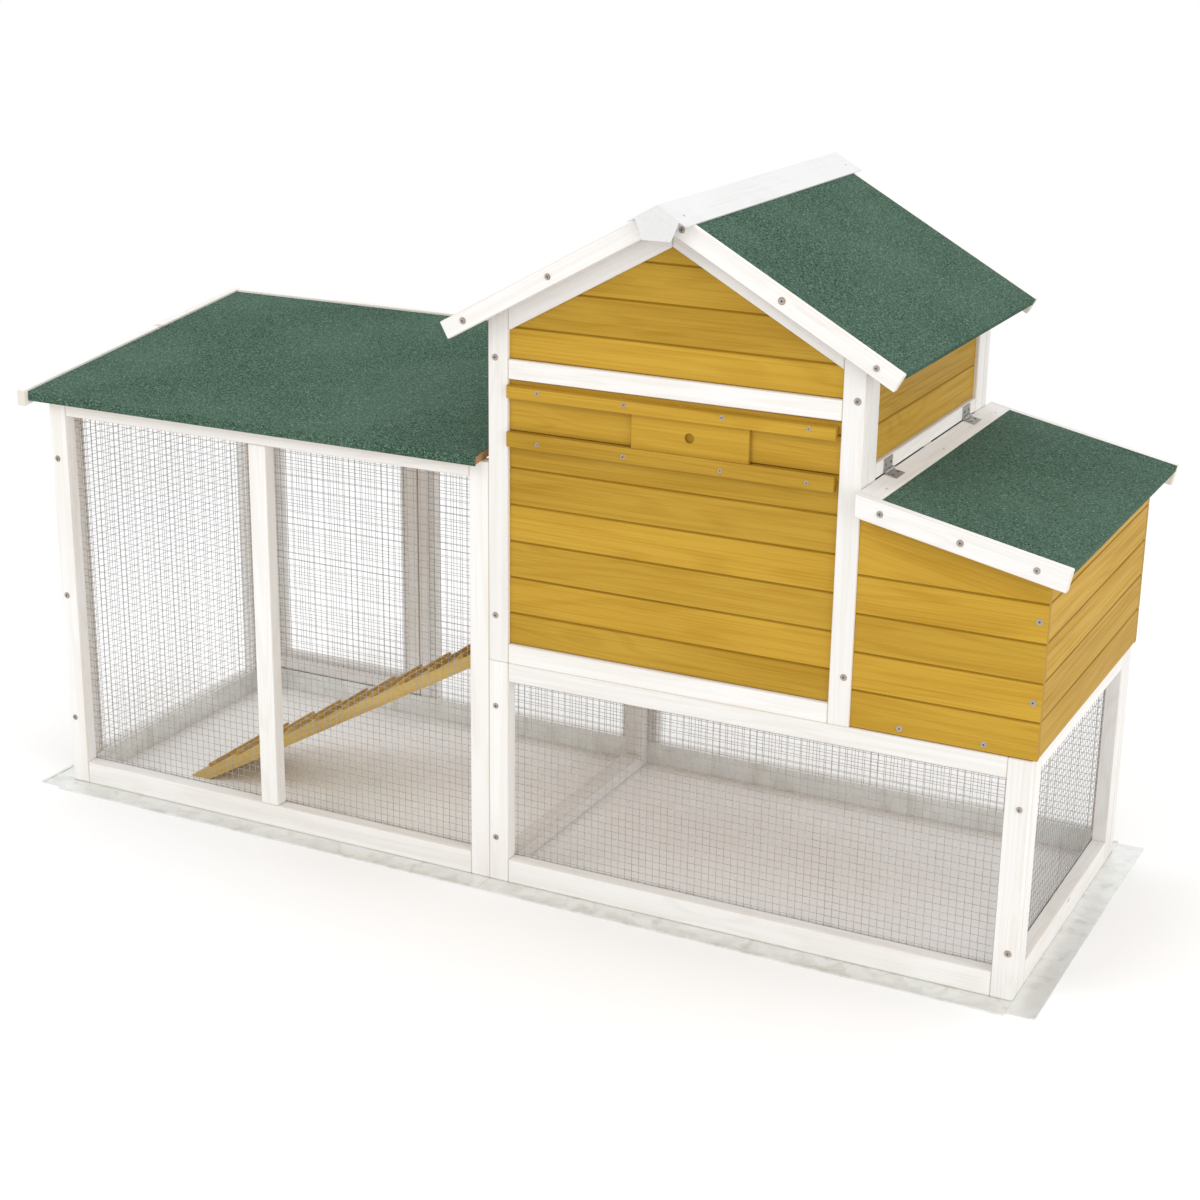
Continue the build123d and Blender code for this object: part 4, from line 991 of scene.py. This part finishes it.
@dataclass
class Run:
    """The low run: three mesh frames, its back door and its felted roof."""

    white: tuple[str, ...] = (
        "run_front_frame",
        "run_left_frame",
        "run_back_frame",
        "run_door_frame",
        "run_roof_trims",
    )
    nets: tuple[str, ...] = ("run_mesh_panels", "run_door_mesh")

    def build(self) -> None:
        """Builds and dresses the run's pieces."""
        for node in self.white:
            BoardWork(node, Slot.WHITE_WOOD, WHITE_WASH).build()
        for node in self.nets:
            WeldedMesh(node).build()
        BoardWork("run_roof_board", Slot.PLYWOOD, PLYWOOD).build()
        BoardWork("run_door_button", Slot.PLAIN, PLAIN_PINE).build()
        dress("run_roof_felt", FELT)


@dataclass
class Base:
    """The wired base, the frame under the house and the ground strips."""

    white: tuple[str, ...] = (
        "base_front_frame",
        "base_back_frame",
        "base_end_frame",
        "house_support_frame",
    )
    strips: tuple[str, ...] = ("ground_strips_long", "ground_strips_ends")

    def build(self) -> None:
        """Builds and dresses the base's pieces."""
        for node in self.white:
            BoardWork(node, Slot.WHITE_WOOD, WHITE_WASH).build()
        WeldedMesh("base_mesh_panels").build()
        for node in self.strips:
            dress(node, ZINC_STRIP)


@dataclass
class House:
    """The gabled house, its doors, vent, floor and perch."""

    white: tuple[str, ...] = (
        "house_front_frame",
        "house_back_frame",
        "house_left_frame",
        "house_right_frame",
        "house_door_frame",
    )
    gold: tuple[str, ...] = (
        "house_front_planks",
        "house_back_planks",
        "house_left_planks",
        "house_right_planks",
        "house_door_planks",
        "vent_battens",
        "vent_shutter",
    )
    plain: tuple[str, ...] = (
        "perch",
        "pop_door",
        "pop_door_guides",
        "house_floor_battens",
        "house_door_button",
    )

    def build(self) -> None:
        """Builds and dresses the house's pieces."""
        for node in self.white:
            BoardWork(node, Slot.WHITE_WOOD, WHITE_WASH).build()
        for node in self.gold:
            BoardWork(node, Slot.PLANKS, GOLD_STAIN).build()
        for node in self.plain:
            BoardWork(node, Slot.PLAIN, PLAIN_PINE).build()
        BoardWork("house_floor", Slot.PLYWOOD, PLYWOOD).build()


@dataclass
class HouseRoof:
    """The pitched roof: boards, felt, bargeboards and ridge cap."""

    nail_in: float = 30 * MM
    nail_down: float = 0.62

    def build(self) -> None:
        """Builds and dresses the roof's pieces."""
        BoardWork("house_roof_boards", Slot.PLYWOOD, PLYWOOD).build()
        BoardWork("house_bargeboards", Slot.WHITE_WOOD, WHITE_WASH).build()
        dress("house_roof_felt", FELT)
        dress("ridge_cap", CAP_PAINT)
        low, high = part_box("ridge_cap")
        middle = (low[0] + high[0]) / 2
        half = (high[0] - low[0]) / 2
        slope = math.tan(math.radians(HOUSE_PITCH))
        for side, name in ((-1.0, "left"), (1.0, "right")):
            x = middle + side * half * self.nail_down
            z = high[2] - half * self.nail_down * slope
            spots = [(x, low[1] + self.nail_in, z), (x, high[1] - self.nail_in, z)]
            NailHeads(f"ridge_cap_nails_{name}", "body", spots, (side * slope, 0.0, 1.0)).build()


@dataclass
class NestBox:
    """The nest box on the end of the house, with its hinged lid."""

    gold: tuple[str, ...] = ("nest_front_wall", "nest_back_wall", "nest_end_wall")
    white: tuple[str, ...] = ("lid_hinge_rail", "lid_bargeboards")
    plywood: tuple[str, ...] = ("nest_floor", "nest_partition", "lid_board")
    nail_y: tuple[float, ...] = (-0.27, 0.0, 0.28)
    nail_in: float = 12 * MM

    def build(self) -> None:
        """Builds and dresses the nest box and lid."""
        for node in self.gold:
            BoardWork(node, Slot.PLANKS, GOLD_STAIN).build()
        for node in self.white:
            BoardWork(node, Slot.WHITE_WOOD, WHITE_WASH).build()
        for node in self.plywood:
            BoardWork(node, Slot.PLYWOOD, PLYWOOD).build()
        BoardWork("nest_corner_posts", Slot.PLAIN, PLAIN_PINE).build()
        dress("lid_felt", FELT)
        low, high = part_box("lid_hinge_rail")
        slope = math.tan(math.radians(LID_PITCH))
        x = high[0] - self.nail_in
        top = high[2] - (x - low[0]) * slope
        spots = [(x, y, top) for y in self.nail_y]
        NailHeads("lid_rail_nails", "lid", spots, (slope, 0.0, 1.0)).build()


@dataclass
class Ramp:
    """The boarded ramp with its cleats."""

    nodes: tuple[str, ...] = ("ramp_board", "ramp_cleats")

    def build(self) -> None:
        """Builds the ramp's pieces."""
        for node in self.nodes:
            BoardWork(node, Slot.PLANKS, PALE_STAIN).build()


@dataclass
class Ironwork:
    """Hinges, pins and screws."""

    leaves: tuple[str, ...] = (
        "hinge_frame_leaves",
        "lid_hinge_leaves",
        "ramp_hinge_leaves",
        "run_door_hinge_leaves",
        "house_door_hinge_leaves",
    )
    screws: tuple[str, ...] = ("frame_screws", "lid_screws")

    def build(self) -> None:
        """Dresses the metal nodes and adds their small details."""
        for node in (*self.leaves, *self.screws, "hinge_pins"):
            dress(node, PLATED_STEEL)
        for node in self.leaves:
            HingeScrews(node).build()
        for node in self.screws:
            ScrewDress(node).build()


@dataclass
class Light:
    """One soft area light."""

    name: str
    place: tuple[float, float, float]
    power: float
    size: float
    aim: tuple[float, float, float] = (0.0, 0.0, 0.5)

    def build(self) -> None:
        """Hangs the light and turns it to the coop."""
        data = bpy.data.lights.new(self.name, "AREA")
        data.energy = self.power
        data.size = self.size
        lamp = bpy.data.objects.new(self.name, data)
        lamp.location = self.place
        line = Vector(self.aim) - Vector(self.place)
        lamp.rotation_euler = line.to_track_quat("-Z", "Y").to_euler()
        bpy.context.scene.collection.objects.link(lamp)


@dataclass
class Studio:
    """Pale floor, soft light and the camera."""

    azimuth: float = 26.41
    elevation: float = 18.57
    roll: float = 0.79
    place: tuple[float, float, float] = (1.6744, -3.2908, 1.6561)
    lens: float = 65.85
    sensor: float = 36.0
    view_end: float = 100.0
    floor_size: float = 40.0
    floor_gap: float = 0.4 * MM
    floor_colour: Colour = (0.93, 0.93, 0.93)
    floor_rough: float = 0.9
    fade: tuple[float, float] = (1.15, 2.9)
    sky: Colour = (1.0, 1.0, 1.0)
    sky_strength: float = 1.0
    lights: list[Light] = field(
        default_factory=lambda: [
            Light("key_light", (-2.2, -4.2, 4.6), 77.0, 3.2),
            Light("fill_light", (4.6, -2.0, 1.5), 60.0, 2.6),
            Light("top_light", (0.2, 1.2, 5.5), 45.0, 4.0),
        ]
    )

    def floor(self) -> None:
        """Lays the floor just under the coop, fading to the sky around it."""
        bm = bmesh.new()
        bmesh.ops.create_grid(bm, x_segments=1, y_segments=1, size=self.floor_size / 2)
        bmesh.ops.translate(bm, verts=bm.verts, vec=(0.0, 0.0, -self.floor_gap))
        mesh = bpy.data.meshes.new("studio_floor")
        bm.to_mesh(mesh)
        bm.free()
        g = Graph("studio_floor")
        g.shader.inputs["Base Color"].default_value = (*self.floor_colour, 1.0)
        g.shader.inputs["Roughness"].default_value = self.floor_rough
        here = g.add("ShaderNodeTexCoord").outputs["Object"]
        away = g.add("ShaderNodeVectorMath", {0: here}, operation="LENGTH").outputs["Value"]
        g.set(g.shader, "Alpha", g.ramp(away, *self.fade, 1.0, 0.0))
        mesh.materials.append(g.material)
        ground = bpy.data.objects.new("studio_floor", mesh)
        bpy.context.scene.collection.objects.link(ground)

    def camera(self) -> None:
        """Places the camera."""
        data = bpy.data.cameras.new("camera")
        data.lens = self.lens
        data.sensor_width = self.sensor
        data.clip_end = self.view_end
        azimuth = math.radians(self.azimuth)
        elevation = math.radians(self.elevation)
        back = Vector(
            (
                math.sin(azimuth) * math.cos(elevation),
                -math.cos(azimuth) * math.cos(elevation),
                math.sin(elevation),
            )
        )
        right = Vector((math.cos(azimuth), math.sin(azimuth), 0.0))
        up = back.cross(right)
        turn = Matrix((right, up, back)).transposed().to_4x4()
        turn = turn @ Matrix.Rotation(math.radians(self.roll), 4, "Z")
        eye = bpy.data.objects.new("camera", data)
        eye.matrix_world = Matrix.Translation(self.place) @ turn
        bpy.context.scene.collection.objects.link(eye)
        bpy.context.scene.camera = eye

    def build(self) -> None:
        """Sets up the studio."""
        self.floor()
        self.camera()
        for light in self.lights:
            light.build()
        world = bpy.data.worlds.new("studio_sky")
        world.use_nodes = True
        sky = world.node_tree.nodes["Background"]
        sky.inputs["Color"].default_value = (*self.sky, 1.0)
        sky.inputs["Strength"].default_value = self.sky_strength
        bpy.context.scene.world = world
        bpy.context.scene.view_settings.view_transform = "Standard"


def main() -> None:
    """Builds the coop's looks in order, then the studio."""
    for part in (Run(), Base(), House(), HouseRoof(), NestBox(), Ramp(), Ironwork(), Studio()):
        LOG.info("building %s", type(part).__name__)
        part.build()


if __name__ == "__main__":
    main()
